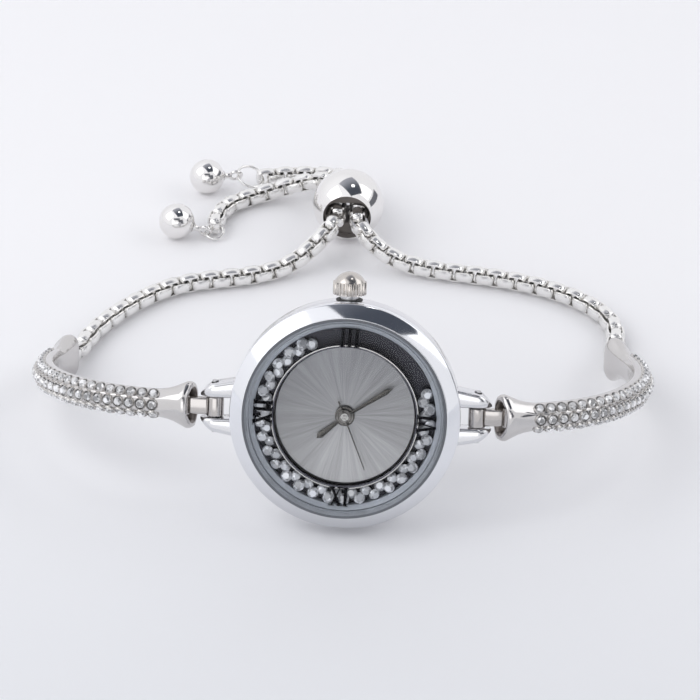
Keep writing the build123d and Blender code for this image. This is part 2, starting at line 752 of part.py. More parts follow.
def lay_links(path, start, count, first_index, first_up, blend_links=4):
    """Links along a path, each a quarter turn on from the last, from one up to upright."""
    upright = Vector(0, 0, 1)
    link = make_link()
    links = []
    for index in range(count):
        number = first_index + index
        part = min(1, number / blend_links)
        up = first_up * (1 - part) + upright * part
        place = path_place(path, start + index * link_pitch, up).location
        quarter = Rot(90, 0, 0) if number % 2 == 0 else Rot(0, 0, 0)
        links.append(place * quarter * link)
    return links


case_up = Vector(0, sin(radians(case_lean)), cos(radians(case_lean)))
joint_marks = {}


def lying_points(run):
    return [Vector(x, y, chain_height + lift) for x, y, lift in run]


def chain_route(side, run, tail_run):
    """The whole line of one chain: bar end, over the surface, through the bead, tail."""
    across = chain_side_step if side == "right" else -chain_side_step
    pin_place = side_frames(side)[3] * Pos(bell_length - chain_pin_inset, 0, chain_pin_middle)
    start = world_point(side, pin_place)
    ahead = world_point(side, pin_place * Rot(0, -chain_angle[side], 0), (link_pitch, 0, 0))
    entry = Vector(bead_x + across, bead_y - insert_half_length, bead_radius)
    leave = Vector(bead_x + across, bead_y + insert_half_length, bead_radius)
    lead = Vector(0, link_pitch, 0)
    front = Spline([start, ahead, *lying_points(run), entry - lead, entry])
    return front, Line(entry, leave), Spline([leave, leave + lead, *lying_points(tail_run)])


def make_chain(side, run, tail_run, tail_name):
    front, through, tail = chain_route(side, run, tail_run)
    path = Wire([front, through, tail])
    end = side_frames(side)[3]
    first_up = (world_point(side, end, (0, 1, 0)) - world_point(side, end)).normalized()
    total = 2 * int((path.length - first_link_hook) / link_pitch / 2) + 1
    inside = ceil((front.length + through.length - first_link_hook) / link_pitch)
    bounds = [0, round(inside * first_run_share), round(inside * second_run_share), inside, total]
    names = ["chain_%s_%d" % (side, number) for number in (1, 2, 3)] + [tail_name]
    for name, low, high in zip(names, bounds, bounds[1:]):
        start = first_link_hook + low * link_pitch
        nodes[name] = Compound(lay_links(path, start, high - low, low, first_up))
        joint_marks[name] = path.position_at(
            max(0, start - link_pitch / 2), position_mode=PositionMode.LENGTH)
    last = path_place(path, first_link_hook + (total - 1) * link_pitch, Vector(0, 0, 1))
    print(side, "chain", round(path.length, 1), "mm", total, "links, pieces start at", bounds)
    return last, path


near_end, left_path = make_chain("left", left_run, near_tail_run, "tail_near")
far_end, right_path = make_chain("right", right_run, far_tail_run, "tail_far")


# Sliding bead and its grip
def make_bead():
    bore = Rot(90, 0, 0) * Cylinder(bead_bore_radius, 2 * bead_radius + cut_over)
    return Pos(bead_x, bead_y, bead_radius) * (Sphere(bead_radius) - bore)


def make_insert():
    plug = Cylinder(bead_bore_radius - seat_gap, 2 * insert_half_length)
    slot = extrude(SlotOverall(insert_slot_width, insert_slot_height), insert_half_length + cut_over, both=True)
    return Pos(bead_x, bead_y, bead_radius) * Rot(90, 0, 0) * (plug - slot)


nodes["slider_bead"] = make_bead()
nodes["slider_insert"] = make_insert()


# Rings and balls at the tail ends
def turned_direction(heading, rise):
    flat = cos(radians(rise))
    return Vector(cos(radians(heading)) * flat, sin(radians(heading)) * flat, sin(radians(rise)))


def wire_ring(radius):
    """A closed ring of wire about z."""
    return revolve(Pos(radius, 0, 0) * Rot(90, 0, 0) * RegularPolygon(ring_wire_radius, wire_sides), Axis.Z)


def end_pieces(last, ring_radius, ring_heading, ring_rise, ring_roll, eye_turn, eye_lift, ball_heading):
    """The ring through the last link, and the ball whose eye hangs on that ring."""
    out = turned_direction(ring_heading, ring_rise)
    level_side = turned_direction(ring_heading + 90, 0)
    roll = radians(ring_roll)
    side = level_side * cos(roll) + level_side.cross(out) * -sin(roll)
    wall_half = link_strip / 2 / cos(roll)
    reach = sqrt((ring_radius - ring_wire_radius) ** 2 - wall_half ** 2) - turning_gap
    hook = last.origin + last.x_dir * (link_length / 2 - link_wall)
    middle = hook + out * reach
    ring_plane = Plane(origin=middle, x_dir=out, z_dir=out.cross(side))
    turn = radians(eye_turn)
    on_ring = middle + (out * cos(turn) + side * sin(turn)) * ring_radius
    wire_run = side * cos(turn) - out * sin(turn)
    eye_middle = on_ring + turned_direction(ball_heading, eye_lift) * (
        ball_eye_radius - 2 * ring_wire_radius - turning_gap)
    reach = ball_eye_radius + ball_neck + ball_radius
    rise = ball_radius - eye_middle.Z
    to_ball = turned_direction(ball_heading, degrees(asin(rise / reach)))
    across = (wire_run - to_ball * wire_run.dot(to_ball)).normalized()
    eye_plane = Plane(origin=eye_middle, x_dir=to_ball, z_dir=across)
    neck = Pos(reach - ball_radius / 2 - ball_neck / 2, 0, 0) * Rot(0, 90, 0) * Cylinder(
        ball_neck_radius, ball_radius + ball_neck)
    ball = wire_ring(ball_eye_radius) + neck + Pos(reach, 0, 0) * Sphere(ball_radius)
    return ring_plane.location * wire_ring(ring_radius), eye_plane.location * ball, hook, on_ring


near_ring = (near_ring_radius, near_ring_heading_angle, near_ring_rise_angle, near_ring_roll_angle,
             near_eye_turn_angle, near_eye_lift_angle, near_ball_heading_angle)
far_ring = (far_ring_radius, far_ring_heading_angle, far_ring_rise_angle, far_ring_roll_angle,
            far_eye_turn_angle, far_eye_lift_angle, far_ball_heading_angle)
for name, last, shape in (("near", near_end, near_ring), ("far", far_end, far_ring)):
    ring_piece, ball, hook, on_ring = end_pieces(last, *shape)
    nodes["ring_" + name] = ring_piece
    nodes["ball_" + name] = ball
    joint_marks["ring_" + name] = hook
    joint_marks["ball_" + name] = on_ring

# The finished part has its origin under the middle of its box, on the surface
boxes = [shape.bounding_box() for shape in nodes.values()]
low_x, high_x = min(box.min.X for box in boxes), max(box.max.X for box in boxes)
low_y, high_y = min(box.min.Y for box in boxes), max(box.max.Y for box in boxes)
low_z = min(box.min.Z for box in boxes)
to_origin = Pos(-(low_x + high_x) / 2, -(low_y + high_y) / 2, -low_z)

os.makedirs("parts", exist_ok=True)
for name, shape in nodes.items():
    export_step(to_origin * shape, "parts/%s.step" % name)
print(len(nodes), "nodes, box", round(high_x - low_x, 2), round(high_y - low_y, 2), "lowest", round(low_z, 3))
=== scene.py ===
import json
import random
from math import asin, atan2, cos, degrees, pi, radians, sin, sqrt

import bmesh
import bpy
import numpy
from mathutils import Matrix, Vector


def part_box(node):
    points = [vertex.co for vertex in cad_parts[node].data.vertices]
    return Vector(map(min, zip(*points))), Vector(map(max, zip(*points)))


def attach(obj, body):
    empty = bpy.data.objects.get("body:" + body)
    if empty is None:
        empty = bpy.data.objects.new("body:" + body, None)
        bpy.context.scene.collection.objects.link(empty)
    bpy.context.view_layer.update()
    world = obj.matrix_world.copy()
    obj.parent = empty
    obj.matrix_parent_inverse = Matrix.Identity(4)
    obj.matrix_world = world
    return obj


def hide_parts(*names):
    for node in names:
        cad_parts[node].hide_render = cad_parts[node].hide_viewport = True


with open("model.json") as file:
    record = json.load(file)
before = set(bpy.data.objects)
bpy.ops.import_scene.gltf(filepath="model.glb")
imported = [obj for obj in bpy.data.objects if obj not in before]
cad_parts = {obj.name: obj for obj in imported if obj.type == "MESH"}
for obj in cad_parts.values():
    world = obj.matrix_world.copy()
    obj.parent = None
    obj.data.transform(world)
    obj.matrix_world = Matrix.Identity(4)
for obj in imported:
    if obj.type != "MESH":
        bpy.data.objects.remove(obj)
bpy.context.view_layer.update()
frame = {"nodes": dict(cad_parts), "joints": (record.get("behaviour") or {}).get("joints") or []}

# Sizes are in millimetres and are turned into metres where a mesh is finished
MM = 0.001
weld_gap = 0.0004
joints = {joint["name"]: joint for joint in frame["joints"]}

# The case frame: x across the bracelet, y up the face to the crown, z out of the glass
case_origin = Vector(joints["minute_turn"]["pos_m"]) / MM
case_out = -Vector(joints["minute_turn"]["axis"]).normalized()
case_up = Vector(joints["crown_turn"]["axis"]).normalized()
case_across = case_up.cross(case_out)
case_lean = degrees(asin(case_out.z))
CASE = Matrix.Translation(case_origin) @ Matrix((case_across, case_up, case_out)).transposed().to_4x4()


def shift(x, y, z):
    return Matrix.Translation((x, y, z))


def turn(angle, axis):
    return Matrix.Rotation(radians(angle), 4, axis)


# Finished pieces
def new_object(name, data):
    thing = bpy.data.objects.new(name, data)
    bpy.context.scene.collection.objects.link(thing)
    return thing


def finish_piece(name, bm, body, material, replaces=(), smooth=40, merge=weld_gap, recalc=True):
    """Makes an object from a bmesh in millimetres and rides it on its body."""
    if merge:
        bmesh.ops.remove_doubles(bm, verts=bm.verts, dist=merge)
    if recalc:
        bmesh.ops.recalc_face_normals(bm, faces=bm.faces)
    bmesh.ops.scale(bm, vec=(MM, MM, MM), verts=bm.verts)
    mesh = bpy.data.meshes.new(name)
    bm.to_mesh(mesh)
    bm.free()
    piece = new_object(name, mesh)
    for one in (material if isinstance(material, list) else [material]):
        mesh.materials.append(one)
    if smooth:
        mesh.shade_smooth()
        mesh.set_sharp_from_angle(angle=radians(smooth))
    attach(piece, body)
    if replaces:
        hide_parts(*replaces)
    return piece


def as_shape(bm):
    """Keeps a bmesh as a shape to be laid down many times."""
    bmesh.ops.remove_doubles(bm, verts=bm.verts, dist=weld_gap)
    bmesh.ops.recalc_face_normals(bm, faces=bm.faces)
    mesh = bpy.data.meshes.new("shape")
    bm.to_mesh(mesh)
    bm.free()
    return mesh


def lay(bm, shape, places):
    """Adds a shape to a bmesh at each of the places."""
    for place in places:
        first = len(bm.verts)
        bm.from_mesh(shape)
        bm.verts.ensure_lookup_table()
        bmesh.ops.transform(bm, matrix=place, verts=bm.verts[first:])


def laid(shape, places):
    """A new bmesh with the shape at each of the places."""
    bm = bmesh.new()
    lay(bm, shape, places)
    return bm


def outline_edges(bm, points, closed):
    """Draws an outline in a bmesh and gives its corners and its edges."""
    corners = [bm.verts.new(point) for point in points]
    pairs = list(zip(corners, corners[1:])) + ([(corners[-1], corners[0])] if closed else [])
    return corners, [bm.edges.new(pair) for pair in pairs]


def turned(profile, place=Matrix(), steps=144, closed=True):
    """Turns an outline of (radius, height) about z."""
    bm = bmesh.new()
    corners, edges = outline_edges(bm, [(radius, 0, height) for radius, height in profile], closed)
    bmesh.ops.spin(bm, geom=corners + edges, cent=(0, 0, 0), axis=(0, 0, 1), angle=2 * pi, steps=steps,
                   use_merge=True)
    bmesh.ops.transform(bm, matrix=place, verts=bm.verts)
    return bm


def band(outer, inner, top, under):
    """The square outline of a ring, as (radius, height)."""
    return [(outer, top), (inner, top), (inner, under), (outer, under)]


def rounded(points, radius, steps=4, closed=True):
    """Rounds each corner of an outline by radius, as far as its sides allow."""
    result = []
    count = len(points)
    for index, point in enumerate(points):
        here = Vector(point)
        if not closed and index in (0, count - 1):
            result.append(tuple(here))
            continue
        before, after = Vector(points[index - 1]), Vector(points[(index + 1) % count])
        back, on = before - here, after - here
        reach = min(radius, back.length * 0.45, on.length * 0.45)
        start, end = here + back.normalized() * reach, here + on.normalized() * reach
        for step in range(steps + 1):
            t = step / steps
            result.append(tuple(start * (1 - t) ** 2 + here * 2 * t * (1 - t) + end * t ** 2))
    return result


def turned_piece(name, profile, material, replaces=(), rounding=0.05, place=CASE, steps=144):
    """Turns a piece of the case with its corners rounded."""
    bm = turned(rounded(profile, rounding), place, steps)
    finish_piece(name, bm, "case", material, replaces, 35)


def skinned(rings, ends=True):
    """Bridges a row of equal closed outlines into a skin, and closes its two ends."""
    bm = bmesh.new()
    loops = [outline_edges(bm, ring, True)[1] for ring in rings]
    for low, high in zip(loops, loops[1:]):
        bmesh.ops.bridge_loops(bm, edges=low + high)
    if ends:
        for loop in (loops[0], loops[-1]):
            bmesh.ops.contextual_create(bm, geom=loop)
    return bm


def joined_copy(node):
    """A CAD node's shape in millimetres, its triangles joined into flat faces."""
    bm = bmesh.new()
    bm.from_mesh(frame["nodes"][node].data)
    bmesh.ops.scale(bm, vec=(1 / MM, 1 / MM, 1 / MM), verts=bm.verts)
    bmesh.ops.remove_doubles(bm, verts=bm.verts, dist=0.002)
    bmesh.ops.dissolve_limit(bm, angle_limit=radians(1), verts=bm.verts, edges=bm.edges)
    return bm


def separate_solids(bm):
    """The corners of each solid in a bmesh, found by walking along the edges."""
    seen, groups = set(), []
    for vertex in bm.verts:
        if vertex in seen:
            continue
        stack, group = [vertex], []
        seen.add(vertex)
        while stack:
            one = stack.pop()
            group.append(one)
            for edge in one.link_edges:
                other = edge.other_vert(one)
                if other not in seen:
                    seen.add(other)
                    stack.append(other)
        groups.append(group)
    return groups


def principal_place(points):
    """A place at the middle of some points, z along their thinnest direction and x along their longest."""
    cloud = numpy.array([tuple(point) for point in points])
    spread = numpy.linalg.eigh(numpy.cov((cloud - cloud.mean(axis=0)).T))[1]
    along = cloud @ spread
    middle = spread @ ((along.min(axis=0) + along.max(axis=0)) / 2)
    thin, long = Vector(spread[:, 0]), Vector(spread[:, 2])
    side = thin.cross(long)
    return Matrix.Translation(middle) @ Matrix((long, side, thin)).transposed().to_4x4()


def solid_places(node):
    """The place of each solid of a CAD node."""
    bm = joined_copy(node)
    places = [principal_place([vertex.co for vertex in group]) for group in separate_solids(bm)]
    bm.free()
    return places


def softened(name, node, width, body, material):
    """The node's own shape with its sharp edges rounded."""
    bm = joined_copy(node)
    sharp = [edge for edge in bm.edges
             if len(edge.link_faces) == 2 and edge.calc_face_angle(0) > radians(25)]
    bmesh.ops.bevel(bm, geom=sharp, offset=width, segments=2, profile=0.5, affect="EDGES",
                    offset_type="OFFSET", clamp_overlap=True, material=-1)
    finish_piece(name, bm, body, material, [node], 50, merge=0, recalc=False)


# Materials
def new_material(name):
    material = bpy.data.materials.new(name)
    material.use_nodes = True
    nodes = material.node_tree.nodes
    nodes.clear()
    return material, nodes, material.node_tree.links


def add(nodes, kind, **values):
    """Adds a node; a value named in_ and an input's name goes to that input."""
    node = nodes.new(kind)
    for key, value in values.items():
        if key.startswith("in_"):
            node.inputs[key[3:].replace("_", " ")].default_value = value
        else:
            setattr(node, key, value)
    return node


def shaded(name, **values):
    """A new material of one principled shader with the given values."""
    material, nodes, links = new_material(name)
    shader = add(nodes, "ShaderNodeBsdfPrincipled", **values)
    links.new(shader.outputs[0], add(nodes, "ShaderNodeOutputMaterial").inputs[0])
    return material, nodes, links, shader


def layered(name, tint, kind, **values):
    """A new material of a clear layer mixed with a covering one; gives the cover's share last."""
    material, nodes, links = new_material(name)
    through = add(nodes, "ShaderNodeBsdfTransparent", in_Color=tint)
    cover = add(nodes, kind, **values)
    mix = add(nodes, "ShaderNodeMixShader")
    links.new(through.outputs[0], mix.inputs[1])
    links.new(cover.outputs[0], mix.inputs[2])
    links.new(mix.outputs[0], add(nodes, "ShaderNodeOutputMaterial").inputs[0])
    return material, nodes, links, cover, mix.inputs[0]


def toned(color, share=1.0):
    """A colour times a share, as a socket takes it."""
    return (*[channel * share for channel in color], 1)


def stretched(nodes, links, vector, scale, rotation=(0, 0, 0)):
    """Coordinates stretched along each axis and turned."""
    mapping = add(nodes, "ShaderNodeMapping", in_Scale=scale, in_Rotation=rotation)
    links.new(vector, mapping.inputs["Vector"])
    return mapping.outputs["Vector"]


def coordinates(nodes, links):
    """Object coordinates counted in millimetres."""
    where = add(nodes, "ShaderNodeTexCoord")
    return stretched(nodes, links, where.outputs["Object"], (1 / MM, 1 / MM, 1 / MM))


def object_axis(nodes, links, axis):
    """One of the object coordinates, in metres."""
    where = add(nodes, "ShaderNodeTexCoord")
    parts = add(nodes, "ShaderNodeSeparateXYZ")
    links.new(where.outputs["Object"], parts.inputs[0])
    return parts.outputs[axis]


def noise(nodes, links, vector, scale, detail, roughness=0.5):
    """A cloudy pattern between 0 and 1."""
    texture = add(nodes, "ShaderNodeTexNoise", in_Scale=scale, in_Detail=detail, in_Roughness=roughness)
    links.new(vector, texture.inputs["Vector"])
    return texture.outputs["Fac"]


def ranged(nodes, links, value, low, high, start=0.0, end=1.0, interpolation="LINEAR"):
    """Maps a value that runs from start to end onto low to high."""
    span = add(nodes, "ShaderNodeMapRange", interpolation_type=interpolation)
    for socket, number in (("From Min", start), ("From Max", end), ("To Min", low), ("To Max", high)):
        span.inputs[socket].default_value = number
    links.new(value, span.inputs["Value"])
    return span.outputs["Result"]


def blended(nodes, links, factor, first, second):
    """Two colours mixed by a factor."""
    mix = add(nodes, "ShaderNodeMix", data_type="RGBA")
    mix.inputs["A"].default_value = first
    mix.inputs["B"].default_value = second
    links.new(factor, mix.inputs["Factor"])
    return mix.outputs["Result"]


def dimmed(nodes, links, color, share):
    """A colour times a value that changes from place to place."""
    scale = add(nodes, "ShaderNodeVectorMath", operation="SCALE")
    links.new(color, scale.inputs[0])
    links.new(share, scale.inputs["Scale"])
    return scale.outputs["Vector"]


def roughen(nodes, links, shader, height, strength):
    """Gives a shader's surface a fine relief."""
    bump = add(nodes, "ShaderNodeBump", in_Strength=strength, in_Distance=0.02 * MM)
    links.new(height, bump.inputs["Height"])
    links.new(bump.outputs["Normal"], shader.inputs["Normal"])


def metal(name, color, rough, rough_spread=0.04, scratch=0.02, scratch_scale=3.0):
    """Polished or satin metal with faint cloudy wear, fine scratches and uneven gloss."""
    material, nodes, links, shader = shaded(name, in_Metallic=1.0)
    vector = coordinates(nodes, links)
    clouds = noise(nodes, links, vector, 0.45, 4.0, 0.6)
    gloss = ranged(nodes, links, clouds, rough - rough_spread, rough + rough_spread)
    links.new(gloss, shader.inputs["Roughness"])
    links.new(blended(nodes, links, clouds, toned(color, 0.96), toned(color)), shader.inputs["Base Color"])
    slanting = stretched(nodes, links, vector, (1, 7, 2), (0.3, 0.5, 0.8))
    roughen(nodes, links, shader, noise(nodes, links, slanting, scratch_scale, 6.0, 0.7), scratch)
    return material


def plain(name, color, rough, grain=0.2, scale=4.0, spread=0.15, metallic=0.0):
    """Rubber, lacquer, moulded plastic, ink and the flat dark discs of painted shade, each with a fine
    grain.
    """
    material, nodes, links, shader = shaded(name, in_Roughness=rough, in_Metallic=metallic)
    speckle = noise(nodes, links, coordinates(nodes, links), scale, 5.0, 0.6)
    shade = blended(nodes, links, speckle, toned(color, 1 - spread), toned(color))
    links.new(shade, shader.inputs["Base Color"])
    roughen(nodes, links, shader, speckle, grain)
    return material


def clear_glass(name, tint, index):
    """Thin clear glass: light goes straight through, and the surface mirrors by its angle."""
    white = (1.0, 1.0, 1.0, 1)
    material, nodes, links, mirror, share = layered(
        name, toned(tint), "ShaderNodeBsdfGlossy", in_Color=white)
    smears = noise(nodes, links, coordinates(nodes, links), 0.3, 3.0)
    links.new(ranged(nodes, links, smears, 0.005, 0.03), mirror.inputs["Roughness"])
    links.new(add(nodes, "ShaderNodeFresnel", in_IOR=index).outputs[0], share)
    return material


def cut_edge(name, color, cover):
    """The glass's ground and polished edge: pale, half see-through, unevenly bright."""
    white = (1.0, 1.0, 1.0, 1)
    material, nodes, links, body, share = layered(
        name, white, "ShaderNodeBsdfPrincipled", in_Roughness=0.35)
    patches = noise(nodes, links, coordinates(nodes, links), 0.35, 2.0)
    shade = blended(nodes, links, patches, toned(color, 0.7), toned(color, 1.25))
    links.new(shade, body.inputs["Base Color"])
    share.default_value = cover
    return material


def stone(name, color, dark_share, metallic):
    """A foil-backed cut stone: each facet gets its own grey, a painted reflection, and all of them are
    glossy.
    """
    material, nodes, links, shader = shaded(
        name, in_Metallic=metallic, in_Roughness=0.03, in_IOR=1.8, in_Coat_Weight=1.0,
        in_Coat_Roughness=0.02, in_Coat_IOR=1.7)
    facet = add(nodes, "ShaderNodeAttribute", attribute_name="facet")
    painted_facet_greys = add(nodes, "ShaderNodeValToRGB")
    steps = painted_facet_greys.color_ramp.elements
    painted_facet_greys.color_ramp.interpolation = "CONSTANT"
    steps[0].color = toned(color, dark_share)
    steps[1].position = 0.26
    steps[1].color = toned(color, 0.55)
    for position, share in ((0.5, 0.76), (0.74, 1.0)):
        steps.new(position).color = toned(color, share)
    links.new(facet.outputs["Fac"], painted_facet_greys.inputs["Fac"])
    links.new(painted_facet_greys.outputs["Color"], shader.inputs["Base Color"])
    roughen(nodes, links, shader, noise(nodes, links, coordinates(nodes, links), 5.0, 2.0), 0.04)
    return material


def sunray(name, color, rough, painted_sheen_angle):
    """Brushed from the centre outwards: fine streaks round the dial, and two broad bright sectors painted
    into its colour as painted reflection.
    """
    material, nodes, links, shader = shaded(name, in_Metallic=1.0, in_Anisotropic=0.75)
    round_and_out = add(nodes, "ShaderNodeUVMap", uv_map="turn").outputs[0]
    streaks = noise(nodes, links, stretched(nodes, links, round_and_out, (420, 1.2, 1)), 1.0, 5.0, 0.7)
    rays = noise(nodes, links, stretched(nodes, links, round_and_out, (46, 0.3, 1)), 1.0, 4.0, 0.75)
    links.new(ranged(nodes, links, streaks, rough - 0.07, rough + 0.1), shader.inputs["Roughness"])
    both = add(nodes, "ShaderNodeMix", data_type="FLOAT")
    both.inputs["Factor"].default_value = 0.45
    links.new(rays, both.inputs["A"])
    links.new(streaks, both.inputs["B"])
    steep = ranged(nodes, links, both.outputs["Result"], 0.0, 1.0, 0.36, 0.64)
    shade = blended(nodes, links, steep, toned(color, 0.62), toned(color))
    # Painted reflection: twice round the dial, the colour swings between a darker and a brighter share
    count = add(nodes, "ShaderNodeSeparateXYZ")
    links.new(round_and_out, count.inputs[0])
    swing = add(nodes, "ShaderNodeMath", operation="MULTIPLY_ADD")
    swing.inputs[1].default_value = 4 * pi
    swing.inputs[2].default_value = pi / 2 - 2 * radians(painted_sheen_angle)
    links.new(count.outputs["X"], swing.inputs[0])
    wave = add(nodes, "ShaderNodeMath", operation="SINE")
    links.new(swing.outputs[0], wave.inputs[0])
    painted_sheen_wedges = ranged(nodes, links, wave.outputs[0], 0.88, 1.04, -1.0, 1.0)
    links.new(dimmed(nodes, links, shade, painted_sheen_wedges), shader.inputs["Base Color"])
    tangent = add(nodes, "ShaderNodeTangent", direction_type="UV_MAP", uv_map="turn")
    links.new(tangent.outputs[0], shader.inputs["Tangent"])
    roughen(nodes, links, shader, streaks, 0.08)
    return material


def painted_low_shade(material, low, high, share):
    """Paints shade into a metal's colour: darker towards its lower edge, between two heights in millimetres.
    """
    nodes, links = material.node_tree.nodes, material.node_tree.links
    color = nodes["Principled BSDF"].inputs["Base Color"]
    above = object_axis(nodes, links, "Z")
    height = ranged(nodes, links, above, share, 1.0, low * MM, high * MM, "SMOOTHSTEP")
    links.new(dimmed(nodes, links, color.links[0].from_socket, height), color)
    return material


# The bezel's colour is painted darker towards its lower edge: painted shade where it mirrors the table in
# front.
bezel_metal = painted_low_shade(metal("bezel_polish", (0.86, 0.87, 0.9), 0.09, 0.03, 0.015), 0.0, 11.0, 0.74)
case_metal = metal("case_polish", (0.77, 0.77, 0.79), 0.13, 0.04, 0.02)
bracelet_metal = metal("bracelet_polish", (0.65, 0.633, 0.625), 0.12, 0.04, 0.02)
tongue_metal = metal("tongue_polish", (0.54, 0.515, 0.5), 0.12, 0.04, 0.02)
setting_metal = metal("setting_metal", (0.6, 0.585, 0.57), 0.2, 0.05, 0.04)
chain_metal = metal("chain_polish", (0.9, 0.89, 0.875), 0.22, 0.05, 0.03)
ball_metal = metal("ball_polish", (0.88, 0.866, 0.855), 0.09, 0.02, 0.01)
crown_metal = metal("crown_nickel", (0.62, 0.585, 0.55), 0.2, 0.05, 0.03)
hand_metal = metal("hand_dark_polish", (0.095, 0.09, 0.083), 0.2, 0.04, 0.01)
hub_metal = metal("hub_polish", (0.2, 0.19, 0.18), 0.14, 0.03, 0.01)
pin_metal = metal("pin_polish", (0.5, 0.49, 0.47), 0.12, 0.03, 0.01)
# Bell pockets: a rougher metal whose darker colour is painted shade.
bell_pocket_painted_shade = metal("bell_pocket_dull_painted_shade", (0.28, 0.255, 0.24), 0.35, 0.05, 0.05)
grip_rubber = plain("grip_rubber", (0.2, 0.18, 0.165), 0.45)
glass_seal = plain("glass_seal", (0.13, 0.14, 0.16), 0.35)
glass_seat = plain("glass_seat", (0.42, 0.445, 0.49), 0.5)
flange_metal = plain("flange_satin", (0.62, 0.655, 0.71), 0.3, 0.1, 3.0, 0.12, 0.2)
floor_mirror = metal("channel_dark_mirror", (0.038, 0.038, 0.045), 0.36, 0.04, 0.0)
steel = metal("turned_steel", (0.6, 0.6, 0.61), 0.28, 0.05, 0.05)
back_steel = metal("brushed_back", (0.66, 0.66, 0.67), 0.3, 0.06, 0.08, 6.0)
brass = metal("gear_brass", (0.78, 0.6, 0.3), 0.3, 0.05, 0.04)
rubber = plain("black_rubber", (0.03, 0.03, 0.032), 0.55)
movement_plastic = plain("movement_plastic", (0.2, 0.2, 0.22), 0.5)
holder_plastic = plain("holder_plastic", (0.8, 0.8, 0.78), 0.5)
coil_wire = plain("coil_wire", (0.55, 0.24, 0.09), 0.35, 0.6, 9.0)
numeral_ink = plain("numeral_ink", (0.006, 0.006, 0.008), 0.7, 0.1)
hole_shadow = plain("hole_shadow", (0.03, 0.027, 0.025), 0.8, 0.1)
for material in (numeral_ink, hole_shadow):
    material.node_tree.nodes["Principled BSDF"].inputs["Specular IOR Level"].default_value = 0.0
glass_clear = clear_glass("cover_glass", (0.985, 0.99, 0.995), 1.14)
glass_edge = cut_edge("cover_glass_edge", (0.48, 0.52, 0.57), 0.22)
wall_dark = metal("wall_dark_gloss", (0.1, 0.1, 0.12), 0.12, 0.03, 0.01)
# Dark discs under the set stones: painted shade in their settings.
seat_painted_shade = plain("stone_seat_painted_shade", (0.05, 0.048, 0.046), 0.4, 0.1)
dial_metal = sunray("dial_sunray", (0.415, 0.411, 0.415), 0.33, 107)
set_stone = stone("set_stones", (0.97, 0.97, 0.98), 0.26, 0.35)
loose_stone = stone("loose_stones", (0.96, 0.97, 1.0), 0.42, 0.2)

# Case: bezel, gasket, glass, band and its four horns. Heights are counted from the glass's outer edge
bezel_radius, bezel_lip_radius, glass_radius, glass_table_radius = 14.0, 12.35, 12.05, 11.55
bezel_shoulder, bezel_under, band_bore_radius, band_top, band_under = -1.3, -2.6, 12.55, -2.66, -6.88
glass_edge_height, glass_table_height, ledge_radius, ledge_under = 0.06, 0.3, 11.7, -1.35
channel_inner_radius, wall_inner_radius, dial_radius = 8.92, 8.65, 8.54
flange_radius, floor_under, wall_top = 12.44, -3.0, -1.09
glass_under, channel_floor, dial_top, horn_depth = -0.95, -2.7, -2.2, 4.3
spring_bar_x = 16.0


def in_case(face):
    """The middle of a face, seen in the case frame."""
    return CASE.inverted() @ face.calc_center_median()


def make_bezel():
    """The slanted bezel; the ledge inside it, on which the glass sits, is satin grey."""
    profile = [(bezel_lip_radius, 0), (bezel_radius, bezel_shoulder), (bezel_radius, bezel_under),
               (band_bore_radius, bezel_under), (band_bore_radius, ledge_under), (ledge_radius, ledge_under),
               (ledge_radius, glass_under), (bezel_lip_radius, glass_under)]
    bm = turned(rounded(profile, 0.16), CASE, 192)
    for face in bm.faces:
        spot = in_case(face)
        if spot.z < -0.1 and spot.xy.length < bezel_lip_radius + 0.02:
            face.material_index = 1
    finish_piece("bezel_ring", bm, "case", [bezel_metal, glass_seat], ["bezel"], 35)


def make_cover_glass():
    """The flat glass with its wide bevelled edge."""
    bevel = [(glass_radius, glass_under), (glass_radius, glass_edge_height),
             (glass_table_radius, glass_table_height)]
    profile = [(0, glass_under)] + rounded(bevel, 0.04, closed=False) + [(0, glass_table_height)]
    bm = turned(profile, CASE, closed=False)
    for face in bm.faces:
        spot = in_case(face)
        if spot.z > -0.03 and spot.xy.length > glass_table_radius + 0.02:
            face.material_index = 1
    finish_piece("cover_glass", bm, "case", [glass_clear, glass_edge], ["glass"], 12)


def make_case_band():
    """The band under the bezel, drawn in towards the case back."""
    band_radius, waist_height, back_radius, bore_radius, seat_height = 13.94, -5.45, 12.95, 12.05, -5.9
    profile = [(band_bore_radius, band_top), (band_radius, band_top), (band_radius, waist_height),
               (back_radius, band_under), (bore_radius, band_under), (bore_radius, seat_height),
               (band_bore_radius, seat_height)]
    turned_piece("case_band_ring", profile, case_metal, ["case_band"], rounding=0.22)


